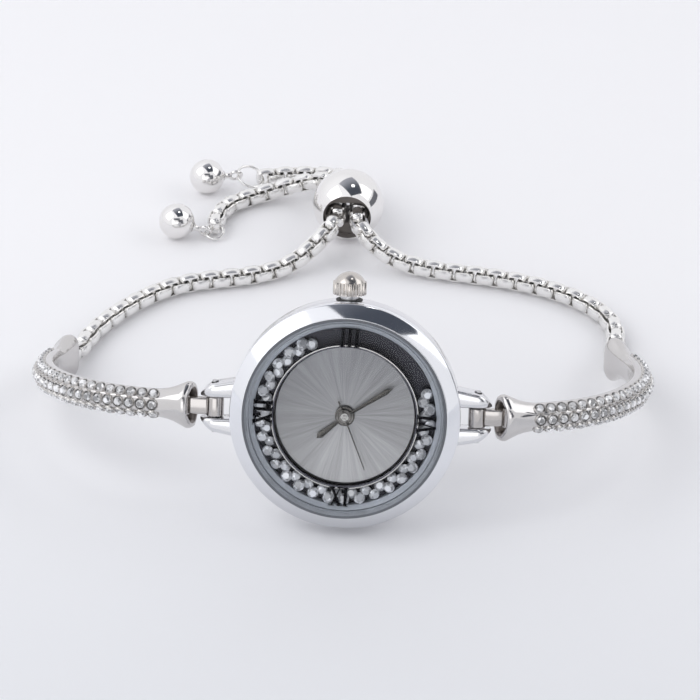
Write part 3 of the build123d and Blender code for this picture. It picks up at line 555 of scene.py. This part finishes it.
def make_horns():
    """Claw-shaped horns: each narrows and bends down to a rounded tip past the spring bar."""
    root, tip, half, low_side, high_side = 12.95, 17.75, 1.42, 1.27, 3.64
    taper, bend, soft, closing_power, steps = 0.2, 0.3, 0.55, 0.35, 24

    def high_at(x):
        return high_side - (x - root) * taper - max(0, x - spring_bar_x) ** 2 * bend

    def section(x):
        """The horn's outline across x; past the pin it closes in like a fingertip."""
        past = max(0, x - spring_bar_x) / (tip - spring_bar_x)
        closing = sqrt(1 - min(past, 0.985) ** 2)
        low, high, side = low_side, high_at(x), half * closing
        middle = low + (high - low) * 0.4
        low, high = (middle + (edge - middle) * closing ** closing_power for edge in (low, high))
        corners = [(low, -side), (high, -side), (high, side), (low, side)]
        return [(x, y, z) for y, z in rounded(corners, soft, 6)]

    stations = [root + (tip - root) * sin(radians(90 * step / steps)) for step in range(steps + 1)]
    horn = as_shape(skinned([section(x) for x in stations]))
    flips = [CASE @ Matrix.Diagonal((x, y, 1, 1)) for x in (1, -1) for y in (1, -1)]
    horns = laid(horn, [flip @ shift(0, 0, -horn_depth) for flip in flips])
    finish_piece("case_horns", horns, "case", case_metal, (), 60)

    # The spring-bar holes are flat dark discs: painted shadow in place of open holes.
    hole_radius, hole_depth, proud = 0.46, 0.2, 0.03
    bm = bmesh.new()
    bmesh.ops.create_cone(bm, cap_ends=True, segments=24, radius1=hole_radius, radius2=hole_radius,
                          depth=hole_depth)
    place = (shift(spring_bar_x, high_at(spring_bar_x) + proud - hole_depth / 2, -horn_depth)
             @ turn(-degrees(atan2(taper, 1)), "Z") @ turn(90, "X"))
    hole_shadow_discs = laid(as_shape(bm), [flip @ place for flip in flips])
    finish_piece("horn_hole_shadows", hole_shadow_discs, "case", hole_shadow)


def make_gasket():
    """The ring between the glass and the bezel."""
    outer, inner, top, under = 12.34, 12.06, -0.03, -0.93
    turned_piece("glass_gasket_ring", band(outer, inner, top, under), glass_seal,
                 ["glass_gasket"], rounding=0.03)


make_bezel()
make_gasket()
make_cover_glass()
make_case_band()
make_horns()


# Stone channel and dial
def make_channel():
    """The slanted flange, the dark floor, the inner wall and the bright lip on the wall."""
    lip_radius, throat_radius, throat_top, flange_top, flange_under = 11.6, 11.05, -1.45, -0.98, -1.38
    flange = [(lip_radius, flange_top), (throat_radius, throat_top), (throat_radius, channel_floor),
              (flange_radius, channel_floor), (flange_radius, flange_under), (lip_radius, flange_under)]
    turned_piece("channel_flange_ring", flange, flange_metal, ["channel_flange"], rounding=0.04)
    turned_piece("channel_floor_ring", band(flange_radius, wall_inner_radius, channel_floor, floor_under),
                 floor_mirror, ["channel_floor"], rounding=0.02)
    turned_piece("channel_wall_ring", band(channel_inner_radius, wall_inner_radius, wall_top, channel_floor),
                 wall_dark, ["channel_wall"], rounding=0.03)
    outer, inner, top, under = 8.94, 8.8, -1.04, -1.12
    turned_piece("channel_wall_lip", band(outer, inner, top, under), pin_metal, rounding=0.02)


def make_dial():
    """The dial disc, with a map that counts round and outwards for its brushed rays."""
    hole_radius, dial_under, edge_height = 0.62, -2.5, -2.26
    profile = [(hole_radius, dial_under), (hole_radius, dial_top), (8.3, dial_top), (8.42, -2.16),
               (8.5, -2.19), (dial_radius, edge_height), (dial_radius, dial_under)]
    bm = turned(profile, Matrix(), 192)
    bmesh.ops.remove_doubles(bm, verts=bm.verts, dist=weld_gap)
    layer = bm.loops.layers.uv.new("turn")
    for face in bm.faces:
        middle = face.calc_center_median()
        centre = atan2(middle.y, middle.x)
        for loop in face.loops:
            spot = loop.vert.co
            swing = atan2(spot.y, spot.x) - centre
            swing -= 2 * pi * round(swing / (2 * pi))
            outwards = sqrt(spot.x ** 2 + spot.y ** 2) / dial_radius
            loop[layer].uv = ((centre + swing) / (2 * pi) + 0.5, outwards)
    bmesh.ops.transform(bm, matrix=CASE, verts=bm.verts)
    finish_piece("dial_plate", bm, "case", dial_metal, ["dial_disc"], 35, merge=0)


make_channel()
make_dial()

# Roman numerals printed on the underside of the glass
numeral_height, stroke_width, serif_width, serif_overhang = 2.35, 0.4, 0.13, 0.15
thick_share, thin_share, letter_lean = 0.86, 0.4, 0.5
letter_widths = {"I": 0.84, "V": 1.46, "X": 1.5}
numeral_radius, numeral_level, ink_thickness, dial_turn = 9.9, -0.962, 0.012, 2


def add_bar(bm, start, end, width):
    """A flat printed bar between two points."""
    middle, run = (Vector(start) + Vector(end)) / 2, Vector(end) - Vector(start)
    place = shift(middle.x, middle.y, 0) @ turn(degrees(atan2(run.y, run.x)), "Z") @ Matrix.Diagonal(
        (run.length, width, ink_thickness, 1))
    bmesh.ops.create_cube(bm, size=1, matrix=place)


def add_serif(bm, x, y):
    """A thin bar across the end of a stroke."""
    half = stroke_width / 2 + serif_overhang
    add_bar(bm, (x - half, y), (x + half, y), serif_width)


def add_letter(bm, letter, x):
    """Draws one letter centred on x."""
    half = numeral_height / 2
    ends = half - serif_width / 2
    left, right = x - letter_lean, x + letter_lean
    if letter == "I":
        add_bar(bm, (x, -half), (x, half), stroke_width)
        add_serif(bm, x, ends)
        add_serif(bm, x, -ends)
    elif letter == "V":
        add_bar(bm, (left, half), (x, -half), stroke_width * thick_share)
        add_bar(bm, (right, half), (x, -half), stroke_width * thin_share)
        add_serif(bm, left, ends)
        add_serif(bm, right, ends)
    else:
        add_bar(bm, (left, half), (right, -half), stroke_width * thick_share)
        add_bar(bm, (right, half), (left, -half), stroke_width * thin_share)
        for foot in (left, right):
            add_serif(bm, foot, ends)
            add_serif(bm, foot, -ends)


def make_numerals():
    """The four hour words in one thin layer of ink, their middles on one circle."""
    bm = bmesh.new()
    # Each word, its clock angle from the crown, and how far its top is turned from outwards
    for word, clock_angle, top_turn in (("III", 0, 0), ("VI", 90, 180), ("IX", 180, 0), ("XII", 270, 0)):
        letters = bmesh.new()
        along = -sum(letter_widths[letter] for letter in word) / 2
        for letter in word:
            add_letter(letters, letter, along + letter_widths[letter] / 2)
            along += letter_widths[letter]
        place = (CASE @ turn(-clock_angle - dial_turn, "Z") @ shift(0, numeral_radius, numeral_level)
                 @ turn(top_turn, "Z"))
        lay(bm, as_shape(letters), [place])
    numerals = finish_piece("roman_numerals", bm, "case", numeral_ink, (), 0, merge=0)
    numerals.visible_shadow = False


make_numerals()


# Cut stones: table, star and crown facets over a round girdle
def cut_stone(width, height, pavilion=0.0):
    """One stone from its girdle up to its table, and down to its point if it has a pavilion."""
    rim = width / 2
    # Each level of corners: share of the radius, height, first angle, how many
    levels = [(0.56, height, 0, 8), (0.83, height * 0.58, 22.5, 8), (1.0, height * 0.06, 0, 16),
              (1.0, 0, 0, 16)]
    if pavilion:
        levels += [(0.45, -pavilion * 0.56, 11.25, 8), (0.03, -pavilion, 0, 4)]
    bm = bmesh.new()
    for share, level, start, count in levels:
        for index in range(count):
            angle = radians(start + 360 * index / count)
            bm.verts.new((rim * share * cos(angle), rim * share * sin(angle), level))
    bmesh.ops.convex_hull(bm, input=bm.verts)
    bmesh.ops.dissolve_limit(bm, angle_limit=radians(2), verts=bm.verts, edges=bm.edges)
    return as_shape(bm)


def finish_stones(name, shape, places, seed, body, material, node):
    """Lays stones down, gives each facet a painted brightness by chance as painted reflection, and finishes
    them.
    """
    bm = laid(shape, places)
    bmesh.ops.recalc_face_normals(bm, faces=bm.faces)
    chance = random.Random(seed)
    layer = bm.faces.layers.float.new("facet")
    for face in bm.faces:
        face[layer] = chance.random()
    finish_piece(name, bm, body, material, [node], 0, merge=0)


def make_loose_stones():
    """Stones heaped in two rows, one on the floor and one leaning over it outside."""
    width, table_height, pavilion_depth = 1.46, 0.42, 0.58
    start, arc, count, middle, zigzag = 116, 262, 50, 9.985, 0.325
    lying_height, outer_lift, most_tilt, most_turn = 0.72, 0.42, 24, 45
    chance = random.Random(5)
    places = []
    for index in range(count):
        angle = start + arc * index / (count - 1)
        side, lift = (zigzag, outer_lift) if index % 2 else (-zigzag, 0)
        tilt = (turn(chance.uniform(-most_tilt, most_tilt), "X")
                @ turn(chance.uniform(-most_tilt, most_tilt), "Y")
                @ turn(chance.uniform(0, most_turn), "Z"))
        level = channel_floor + lying_height + lift
        places.append(CASE @ turn(angle, "Z") @ shift(middle + side, 0, level) @ tilt)
    stones = cut_stone(width, table_height, pavilion_depth)
    finish_stones("loose_cut_stones", stones, places, 11, "crystals", loose_stone, "loose_crystals")


make_loose_stones()


# Hands: ridged lances with round hubs
def make_hand(name, body, length, root, belly, hub, bore, under, thickness, angle):
    """One hand: a ridged blade, widest at its belly, and a grooved hub."""
    belly_place, hub_overlap = 0.84 * length, 0.8
    bm = bmesh.new()
    for x, y in ((-root / 2, 0), (root / 2, 0), (belly / 2, belly_place), (0, length),
                 (-belly / 2, belly_place)):
        bm.verts.new((x, y, 0))
        bm.verts.new((x * 0.96, y, thickness * 0.35))
    bm.verts.new((0, 0, thickness))
    bm.verts.new((0, belly_place, thickness))
    bmesh.ops.convex_hull(bm, input=bm.verts)
    blade = as_shape(bm)
    groove = [(bore, 0), (hub, 0), (hub, thickness), (hub * 0.93, thickness + 0.02),
              (hub * 0.86, thickness * 0.6), (bore + (hub - bore) * 0.3, thickness * 0.6), (bore, thickness)]
    ring = as_shape(turned(rounded(groove, 0.02, 2), Matrix(), 64))
    place = CASE @ turn(-angle, "Z") @ shift(0, 0, under)
    start = hub * hub_overlap
    blade_place = place @ shift(0, start, 0) @ Matrix.Diagonal((1, 1 - start / length, 1, 1))
    blades = laid(blade, [blade_place])
    finish_piece(name + "_blade", blades, body, hand_metal, [body + "_hand"], 25)
    finish_piece(name + "_hub", laid(ring, [place]), body, hub_metal, (), 25)


def make_second_needle():
    """The thin second hand with its counterweight end and its small hub."""
    length, tail, root, thickness, under, clock_angle = 6.95, 2.1, 0.1, 0.1, -1.22, 158.2
    bm = bmesh.new()
    for x, y in ((-root / 2, length), (root / 2, length), (-root, -tail), (root, -tail)):
        bm.verts.new((x, y, 0))
        bm.verts.new((x * 0.6, y, thickness))
    bmesh.ops.convex_hull(bm, input=bm.verts)
    profile = [(0, 0), (0.5, 0), (0.5, 0.08), (0.42, 0.12), (0.3, 0.12), (0.24, 0.09), (0.16, 0.09),
               (0.1, 0.12), (0, 0.12)]
    hub = as_shape(turned(profile, Matrix(), 48, closed=False))
    place = CASE @ turn(-clock_angle, "Z") @ shift(0, 0, under)
    needle = laid(as_shape(bm), [place])
    finish_piece("second_needle", needle, "second", hand_metal, ["second_hand"], 25)
    finish_piece("second_hub", laid(hub, [place]), "second", pin_metal, (), 25)


make_hand("hour_lance", "hour", length=4.4, root=0.4, belly=0.8, hub=1.2, bore=0.5, under=-1.76,
          thickness=0.14, angle=229.4)
make_hand("minute_lance", "minute", length=6.9, root=0.3, belly=0.62, hub=0.85, bore=0.3, under=-1.48,
          thickness=0.12, angle=56.5)
make_second_needle()


# Crown with its flutes eased and the dark ring at its foot
def make_crown():
    foot_radius, foot_bore, foot_top, foot_under = 1.62, 1.12, 13.99, 13.7
    softened("crown_fluted", "crown", 0.07, "crown_and_stem", crown_metal)
    turned_piece("crown_foot_ring", band(foot_radius, foot_bore, foot_top, foot_under),
                 rubber, place=CASE @ shift(0, 0, -horn_depth) @ turn(-90, "X"), steps=48)


make_crown()

# Inner pieces and pins keep their own shapes and get their finishes
for material, plain_nodes in (
        (back_steel, ["caseback"]), (rubber, ["caseback_gasket", "crown_gasket"]),
        (steel, ["crown_tube", "spring_bars", "battery", "battery_strap", "stem", "clutch_wheel",
                 "second_arbor", "bar_pin_left", "bar_pin_right", "chain_pin_left", "chain_pin_right"]),
        (brass, ["movement_plate", "cannon_pinion", "hour_wheel", "minute_wheel"]),
        (holder_plastic, ["movement_holder"]), (movement_plastic, ["train_block"]), (coil_wire, ["coil"]),
        (grip_rubber, ["slider_insert"])):
    for node in plain_nodes:
        frame["nodes"][node].data.materials.clear()
        frame["nodes"][node].data.materials.append(material)

# Places along the bracelet, worked out as on the solids
band_shoulder = 5.5
tongue_pitch, pin_inset, bell_length, bend_radius, bend_angle = 4.0, 1.1, 3.8, 19.6, 94.0
seat_width, seat_angle, seat_height, bar_inside, bar_waist, bar_back_half = 1.5, 52.0, 1.5, 1.1, 0.55, 1.0
tongue_angles, bar_angles = {"left": 0, "right": 2}, {"left": 8, "right": 16}
rim_lifts = {"left": 0.06, "right": 1.2}
seat_out, seat_up = seat_width * sin(radians(seat_angle)), seat_width * cos(radians(seat_angle))
bell_flare_share = 1.7


def side_places(side):
    """The world places of a side's tongue, of its bar's front rim and of the bend's start."""
    first, last = bar_angles[side], bar_angles[side] + bend_angle
    reach = (tongue_pitch * sin(radians(tongue_angles[side]))
             + (bell_length - pin_inset) * sin(radians(first))
             + bend_radius * (cos(radians(first)) - cos(radians(last))) + bell_length * sin(radians(last)))
    case_height = bezel_radius * cos(radians(case_lean)) + band_shoulder * sin(radians(case_lean))
    rim_half = (seat_width / 2 + seat_up) * bell_flare_share
    horn_height = case_height - horn_depth * sin(radians(case_lean))
    drop = horn_height - rim_half * cos(radians(case_lean)) - rim_lifts[side]
    droop = degrees(asin(drop / reach)) - case_lean
    flip = CASE @ Matrix.Diagonal((1 if side == "right" else -1, 1, 1, 1))
    tongue = flip @ shift(spring_bar_x, 0, -horn_depth) @ turn(-droop, "X") @ turn(tongue_angles[side], "Y")
    pin = tongue @ shift(tongue_pitch, 0, 0) @ turn(first - tongue_angles[side], "Y")
    bar = pin @ shift(-pin_inset, 0, 0)
    return tongue, bar, bar @ shift(bell_length, 0, -bend_radius)


def bar_outline(height_share, depth_share, rounding):
    """The bar's section: three seats outside, a smooth rounded inside. Gives (y, z) points."""
    half = [(seat_width / 2, seat_height), (seat_width / 2 + seat_up, seat_height - seat_out),
            (seat_width / 2 + seat_up, -bar_waist), (bar_back_half, -bar_inside)]
    corners = half + [(-y, z) for y, z in reversed(half)]
    return rounded([(y * height_share, z * depth_share) for y, z in corners], rounding, 4)


def bell_ring(place, x, height_share, depth_share, rounding, way):
    """One station of a bell, x from its rim; near the rim it leans back on the outer side."""
    rim_lean, lean_end = 0.28, 1.6
    lean = rim_lean * max(0, 1 - max(x, 0) / lean_end)
    start = bell_length if way < 0 else 0
    return [place @ Vector(((x + lean * z) * way + start, y, z))
            for y, z in bar_outline(height_share, depth_share, rounding)]


def make_bar(side):
    """The curved bar with a bell at each end; inside its mouths the finish is rougher and painted shade
    darkens the colour.
    """
    bar, bend = side_places(side)[1:]
    # Stations of a bell from its pocket's floor to its neck: x, height share, depth share, rounding
    pocket = [(1.9, 0.92, 0.64, 0.5), (0.2, 1.1, 0.8, 0.6), (-0.1, 1.2, 0.88, 0.7), (-0.22, 1.36, 1.0, 0.8)]
    flare = [(-0.16, 1.62, 1.18, 0.85), (0.1, 1.73, 1.26, 0.85), (0.5, 1.74, 1.28, 0.85),
             (1.1, 1.58, 1.2, 0.75), (2.1, 1.3, 1.1, 0.6), (2.9, 1.16, 1.04, 0.4),
             (bell_length, 1.04, 1.0, 0.16)]
    bell, steps = pocket + flare, 48
    rings = [bell_ring(bar, *station, 1) for station in bell]
    for index in range(1, steps):
        place = bend @ turn(bend_angle * index / steps, "Y") @ shift(0, 0, bend_radius)
        rings.append([place @ Vector((0, y, z)) for y, z in bar_outline(1, 0.98, 0.16)])
    end = bend @ turn(bend_angle, "Y") @ shift(0, 0, bend_radius)
    rings += [bell_ring(end, *station, -1) for station in reversed(bell)]

    def spot(point):
        return tuple(round(value, 3) for value in point)

    # The pocket faces inside both bell mouths take the second material, darkened as painted shade.
    mouths = rings[:len(pocket)] + rings[-len(pocket):]
    mouth_spots = {spot(point) for ring in mouths for point in ring}
    bm = skinned(rings)
    for face in bm.faces:
        if all(spot(vertex.co) in mouth_spots for vertex in face.verts):
            face.material_index = 1
    finish_piece("bar_body_" + side, bm, "bar_" + side, [bracelet_metal, bell_pocket_painted_shade],
                 ["stone_bar_" + side], 55)
    make_bar_stones(side, bend)


def make_bar_stones(side, bend):
    """Three rows of stones, each over a dark disc of painted shade, with a bright collar round it."""
    in_row, girdle_height, shade_disc_level, shade_disc_radius = 23, 0.08, 0.035, 0.66
    stone_width, table_height = 1.15, 0.42
    body = "bar_" + side
    side_y, side_z = seat_width / 2 + seat_up / 2, seat_height - seat_out / 2
    rows = [(0, seat_height, 0), (side_y, side_z, seat_angle), (-side_y, side_z, -seat_angle)]
    places = [bend @ turn(bend_angle * (index + 0.5) / in_row, "Y") @ shift(0, y, bend_radius + z)
              @ turn(-tilt, "X") for index in range(in_row) for y, z, tilt in rows]
    stones = [place @ shift(0, 0, girdle_height) for place in places]
    finish_stones("set_stones_" + side, cut_stone(stone_width, table_height), stones, 3, body, set_stone,
                  "bar_stones_" + side)
    rim = [(0.63, -0.1), (0.65, 0.22), (0.69, 0.28), (0.74, 0.2), (0.78, -0.1)]
    collars = laid(as_shape(turned(rim, Matrix(), 16)), places)
    finish_piece("stone_collars_" + side, collars, body, setting_metal, (), 60, merge=0)
    # Under each stone a dark disc: painted shade in the hollow of its setting.
    bm = bmesh.new()
    bmesh.ops.create_circle(bm, cap_ends=True, segments=12, radius=shade_disc_radius)
    shade_discs = laid(as_shape(bm), [place @ shift(0, 0, shade_disc_level) for place in places])
    finish_piece("stone_seat_shade_discs_" + side, shade_discs, body, seat_painted_shade, (), 0, merge=0)


def make_tongue(side):
    """Two barrels, round the spring bar and round the bar's pin, joined by a waisted web."""
    barrel_half, web_length, web_width, web_thickness = 1.19, 2.3, 2.06, 1.3
    place = side_places(side)[0]
    bm = bmesh.new()
    for x, radius, bore in ((0, 1.1, 0.53), (tongue_pitch, 0.95, 0.4)):
        profile = rounded(band(radius, bore, barrel_half, -barrel_half), 0.16)
        lay(bm, as_shape(turned(profile, Matrix(), 48)), [place @ shift(x, 0, 0) @ turn(90, "X")])
    web = bmesh.new()
    bmesh.ops.create_cube(web, size=1, matrix=Matrix.Diagonal((web_length, web_width, web_thickness, 1)))
    bmesh.ops.bevel(web, geom=web.edges[:], offset=0.22, segments=4, profile=0.5, affect="EDGES",
                    material=-1)
    lay(bm, as_shape(web), [place @ shift(tongue_pitch / 2, 0, 0)])
    finish_piece("tongue_link_" + side, bm, "tongue_" + side, tongue_metal, ["tongue_" + side],
                 merge=0)


for side in ("left", "right"):
    make_bar(side)
    make_tongue(side)


# Chain links: rounded square rings laid at the places of the solid links
def make_link_shape():
    """One rounded square ring of flat wire, lying in its own x and y."""
    half_length, half_height, wire_half, strip_half, squareness = 1.1, 1.06, 0.315, 0.7, 0.45
    round_radius, octagon_share = 2, 1.05
    bm = bmesh.new()
    upright = turn(90, "X") @ turn(22.5, "Z")
    section = bmesh.ops.create_circle(bm, segments=8, radius=1, matrix=upright)["verts"]
    bmesh.ops.scale(bm, vec=(wire_half * octagon_share, 1, strip_half * octagon_share), verts=section)
    bmesh.ops.translate(bm, vec=(round_radius, 0, 0), verts=section)
    bmesh.ops.spin(bm, geom=bm.verts[:] + bm.edges[:], cent=(0, 0, 0), axis=(0, 0, 1), angle=2 * pi,
                   steps=20, use_merge=True)
    # The round ring is drawn out to a rounded square
    for vertex in bm.verts:
        angle = atan2(vertex.co.y, vertex.co.x)
        out = vertex.co.xy.length - round_radius
        across = abs(cos(angle)) ** squareness * (1 if cos(angle) > 0 else -1)
        up = abs(sin(angle)) ** squareness * (1 if sin(angle) > 0 else -1)
        vertex.co.x = across * half_length + cos(angle) * out
        vertex.co.y = up * half_height + sin(angle) * out
    return as_shape(bm)


link_shape = make_link_shape()
for node in ("chain_left_1", "chain_left_2", "chain_left_3", "chain_right_1", "chain_right_2",
             "chain_right_3", "tail_near", "tail_far"):
    links_laid = laid(link_shape, solid_places(node))
    finish_piece(node + "_links", links_laid, node, chain_metal, [node], 60, merge=0)


# Sliding bead, end balls and their rings
def circle_points(radius, angles):
    return [(radius * cos(radians(angle)), radius * sin(radians(angle))) for angle in angles]


def box_middle(node):
    low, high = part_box(node)
    return (Vector(low) + Vector(high)) / 2 / MM


def make_bead():
    """A round shell, its bore's edges turned in over the rubber grip."""
    radius, bore, steps = 5.15, 3.45, 20
    half = sqrt(radius ** 2 - bore ** 2)
    edge = degrees(asin(half / radius))
    outside = circle_points(radius, [edge * step / steps for step in range(-steps, steps + 1)])
    lip = [(bore - 0.05, half - 0.1), (bore, half - 0.3)]
    profile = outside + lip + [(x, -y) for x, y in reversed(lip)]
    bm = turned(profile, shift(*box_middle("slider_bead")) @ turn(90, "X"), 96)
    finish_piece("bead_shell", bm, "slider", ball_metal, ["slider_bead"], 50)


def wire_ring(bm, radius, wire, place):
    """Adds a ring of round wire."""
    section = [(radius + x, y) for x, y in circle_points(wire, range(0, 360, 30))]
    lay(bm, as_shape(turned(section, Matrix(), 48)), [place])


def node_points(node):
    return [vertex.co / MM for vertex in frame["nodes"][node].data.vertices]


def make_end(name, ring_radius):
    """A ring and a ball with its neck and eye, at the places of the solid ones."""
    wire, ring_wire_share, ball_radius, eye_radius, neck = 0.25, 0.84, 2.6, 0.85, 0.9
    low, high = (Vector(corner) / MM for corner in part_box("ball_" + name))
    middle = Vector((low.x + ball_radius, (low.y + high.y) / 2, low.z + ball_radius))
    eye_start = ball_radius + neck + 0.1
    eye = [point for point in node_points("ball_" + name) if (point - middle).length > eye_start]
    outwards = (sum(eye, Vector()) / len(eye) - middle).normalized()
    eye_middle = middle + outwards * (ball_radius + neck + eye_radius)
    thin = principal_place(eye).to_3x3().col[2]
    along = (middle - eye_middle).normalized()
    side = thin.cross(along).normalized()
    axes = Matrix((along, side, along.cross(side))).transposed().to_4x4()
    eye_place = Matrix.Translation(eye_middle) @ axes
    bm = bmesh.new()
    bmesh.ops.create_uvsphere(bm, u_segments=64, v_segments=32, radius=ball_radius)
    bm = laid(as_shape(bm), [Matrix.Translation(middle) @ turn(90, "Y")])
    neck_profile = [(0.42, -0.2), (0.42, neck * 0.4), (0.5, neck * 0.8), (0.8, neck + 0.1)]
    lay(bm, as_shape(turned(neck_profile, Matrix(), 24, closed=False)),
        [eye_place @ shift(eye_radius, 0, 0) @ turn(90, "Y")])
    wire_ring(bm, eye_radius, wire, eye_place)
    finish_piece("end_ball_" + name, bm, "ball_" + name, ball_metal, ["ball_" + name], 50, merge=0)
    bm = bmesh.new()
    wire_ring(bm, ring_radius, wire * ring_wire_share, principal_place(node_points("ring_" + name)))
    finish_piece("jump_ring_" + name, bm, "ring_" + name, chain_metal, ["ring_" + name], 50,
                 merge=0)


make_bead()
make_end("near", ring_radius=1.3)
make_end("far", ring_radius=2.0)


# Setting: a pale floor, soft lights and the camera of the photograph
def stand(thing, place):
    """Puts a lamp or a card at a place given in millimetres."""
    where, rotation, _ = place.decompose()
    thing.location = where * MM
    thing.rotation_euler = rotation.to_euler()


def stage_plane(name, size_x, size_y, place, material):
    """A flat card of the setting."""
    bm = bmesh.new()
    bmesh.ops.create_grid(bm, x_segments=1, y_segments=1, size=0.5)
    bmesh.ops.scale(bm, vec=(size_x * MM, size_y * MM, 1), verts=bm.verts)
    mesh = bpy.data.meshes.new(name)
    bm.to_mesh(mesh)
    bm.free()
    mesh.materials.append(material)
    plane = new_object(name, mesh)
    stand(plane, place)


def matte(name, color):
    """Dull paper of one colour."""
    return shaded(name, in_Roughness=0.9, in_Base_Color=toned(color), in_Specular_IOR_Level=0.0)


def table_paper_painted_light():
    """Pale paper with painted light: brightest round the object, and a little darker towards the front as
    painted shade.
    """
    front, back, painted_light_peak = -110 * MM, 300 * MM, 0.36
    material, nodes, links, shader = matte("pale_table_painted_light", (0.9, 0.9, 0.92))
    depth = ranged(nodes, links, object_axis(nodes, links, "Y"), 0.0, 1.0, front, back)
    shade = add(nodes, "ShaderNodeValToRGB")
    shade.color_ramp.interpolation = "EASE"
    painted_light_tones = shade.color_ramp.elements
    painted_light_tones[0].color = (0.84, 0.85, 0.875, 1)
    painted_light_tones[1].color = (0.93, 0.925, 0.94, 1)
    painted_light_tones.new(painted_light_peak).color = (0.99, 0.985, 1.0, 1)
    links.new(depth, shade.inputs["Fac"])
    links.new(shade.outputs["Color"], shader.inputs["Base Color"])
    return material


def dark_card_painted_light():
    """A dark card with painted light: it gets paler towards one side."""
    material, nodes, links, shader = matte("dark_card", (0.1, 0.11, 0.13))
    dark_side, pale_side = -120 * MM, 320 * MM
    place = object_axis(nodes, links, "X")
    across = ranged(nodes, links, place, 0.0, 1.0, dark_side, pale_side, "SMOOTHSTEP")
    shade = blended(nodes, links, across, (0.085, 0.095, 0.115, 1), (0.42, 0.43, 0.46, 1))
    links.new(shade, shader.inputs["Base Color"])
    return material


def facing(spot, target):
    """A place at spot whose z points away from target, as a lamp or a card looks."""
    way = (Vector(spot) - Vector(target)).normalized()
    return Matrix.Translation(Vector(spot)) @ way.to_track_quat("Z", "Y").to_matrix().to_4x4()


def soft_lamp(name, spot, target, size, size_y, watts):
    """A flat lamp at a spot, turned to its target."""
    lamp = bpy.data.lights.new(name, "AREA")
    lamp.energy = watts
    lamp.shape = "RECTANGLE"
    lamp.size = size * MM
    lamp.size_y = size_y * MM
    stand(new_object(name, lamp), facing(spot, target))


def make_sky():
    """Soft light from all round, a little brighter from above on the left."""
    world = bpy.data.worlds.new("studio")
    bpy.context.scene.world = world
    world.use_nodes = True
    nodes, links = world.node_tree.nodes, world.node_tree.links
    background = nodes["Background"]
    background.inputs["Color"].default_value = (0.965, 0.97, 1.0, 1)
    level = add(nodes, "ShaderNodeVectorMath", operation="DOT_PRODUCT")
    level.inputs[1].default_value = Vector((-0.5, -0.12, 0.85)).normalized()
    links.new(add(nodes, "ShaderNodeTexCoord").outputs["Generated"], level.inputs[0])
    glow = ranged(nodes, links, level.outputs["Value"], 0.95, 1.08, 0.35, 0.97, "SMOOTHSTEP")
    links.new(glow, background.inputs["Strength"])


def make_setting():
    """The table, the cards that the polished metal mirrors, and the lamps. Places are in millimetres."""
    grey = matte("grey_card", (0.18, 0.185, 0.2))[0]
    watch, above_watch = (0, 0, 5), (0, 0, 10)
    stage_plane("table", 6000, 6000, Matrix(), table_paper_painted_light())
    stage_plane("ceiling_card", 640, 420, facing((78, 40, 520), (0, -20, 10)), dark_card_painted_light())
    stage_plane("wall_card", 900, 300, facing((1000, 250, 150), (0, 0, 60)), grey)
    stage_plane("camera_card", 520, 330, facing((60, -560, 450), above_watch), grey)
    stage_plane("side_card", 300, 340, facing((400, -500, 260), above_watch), grey)
    make_sky()
    soft_lamp("window_left", (-430, -120, 430), watch, 420, 420, watts=0.5)
    soft_lamp("top_spot", (100, 60, 480), watch, 60, 60, watts=0.06)
    soft_lamp("front_fill", (-60, -520, 230), watch, 420, 300, watts=0.3)
    soft_lamp("window_right", (480, 60, 420), (40, 0, 0), 420, 420, watts=0.4)


def make_camera():
    """The photograph's camera, from the fit of the bezel, horns, bar ends and balls."""
    lift, swing, roll, distance, aside, above, focal = 33.75, 2.61, 0.92, 299.3, 0.71, 8.4, 2490.0
    photo_width, sensor = 700.0, 36.0
    e, p, r = radians(lift), radians(swing), radians(roll)
    forward = Vector((-sin(p) * cos(e), cos(p) * cos(e), -sin(e)))
    level_right = forward.cross(Vector((0, 0, 1))).normalized()
    level_up = level_right.cross(forward)
    right = level_right * cos(r) + level_up * sin(r)
    up = level_up * cos(r) - level_right * sin(r)
    spot = case_origin + right * aside + up * above - forward * distance
    data = bpy.data.cameras.new("photo_camera")
    data.sensor_width = sensor
    data.lens = focal / photo_width * sensor
    data.clip_start = 0.005
    data.clip_end = 20
    camera = new_object("photo_camera", data)
    camera.matrix_world = Matrix.Translation(spot * MM) @ Matrix((right, up, -forward)).transposed().to_4x4()
    bpy.context.scene.camera = camera


make_setting()
make_camera()
bpy.context.scene.view_settings.view_transform = "Standard"
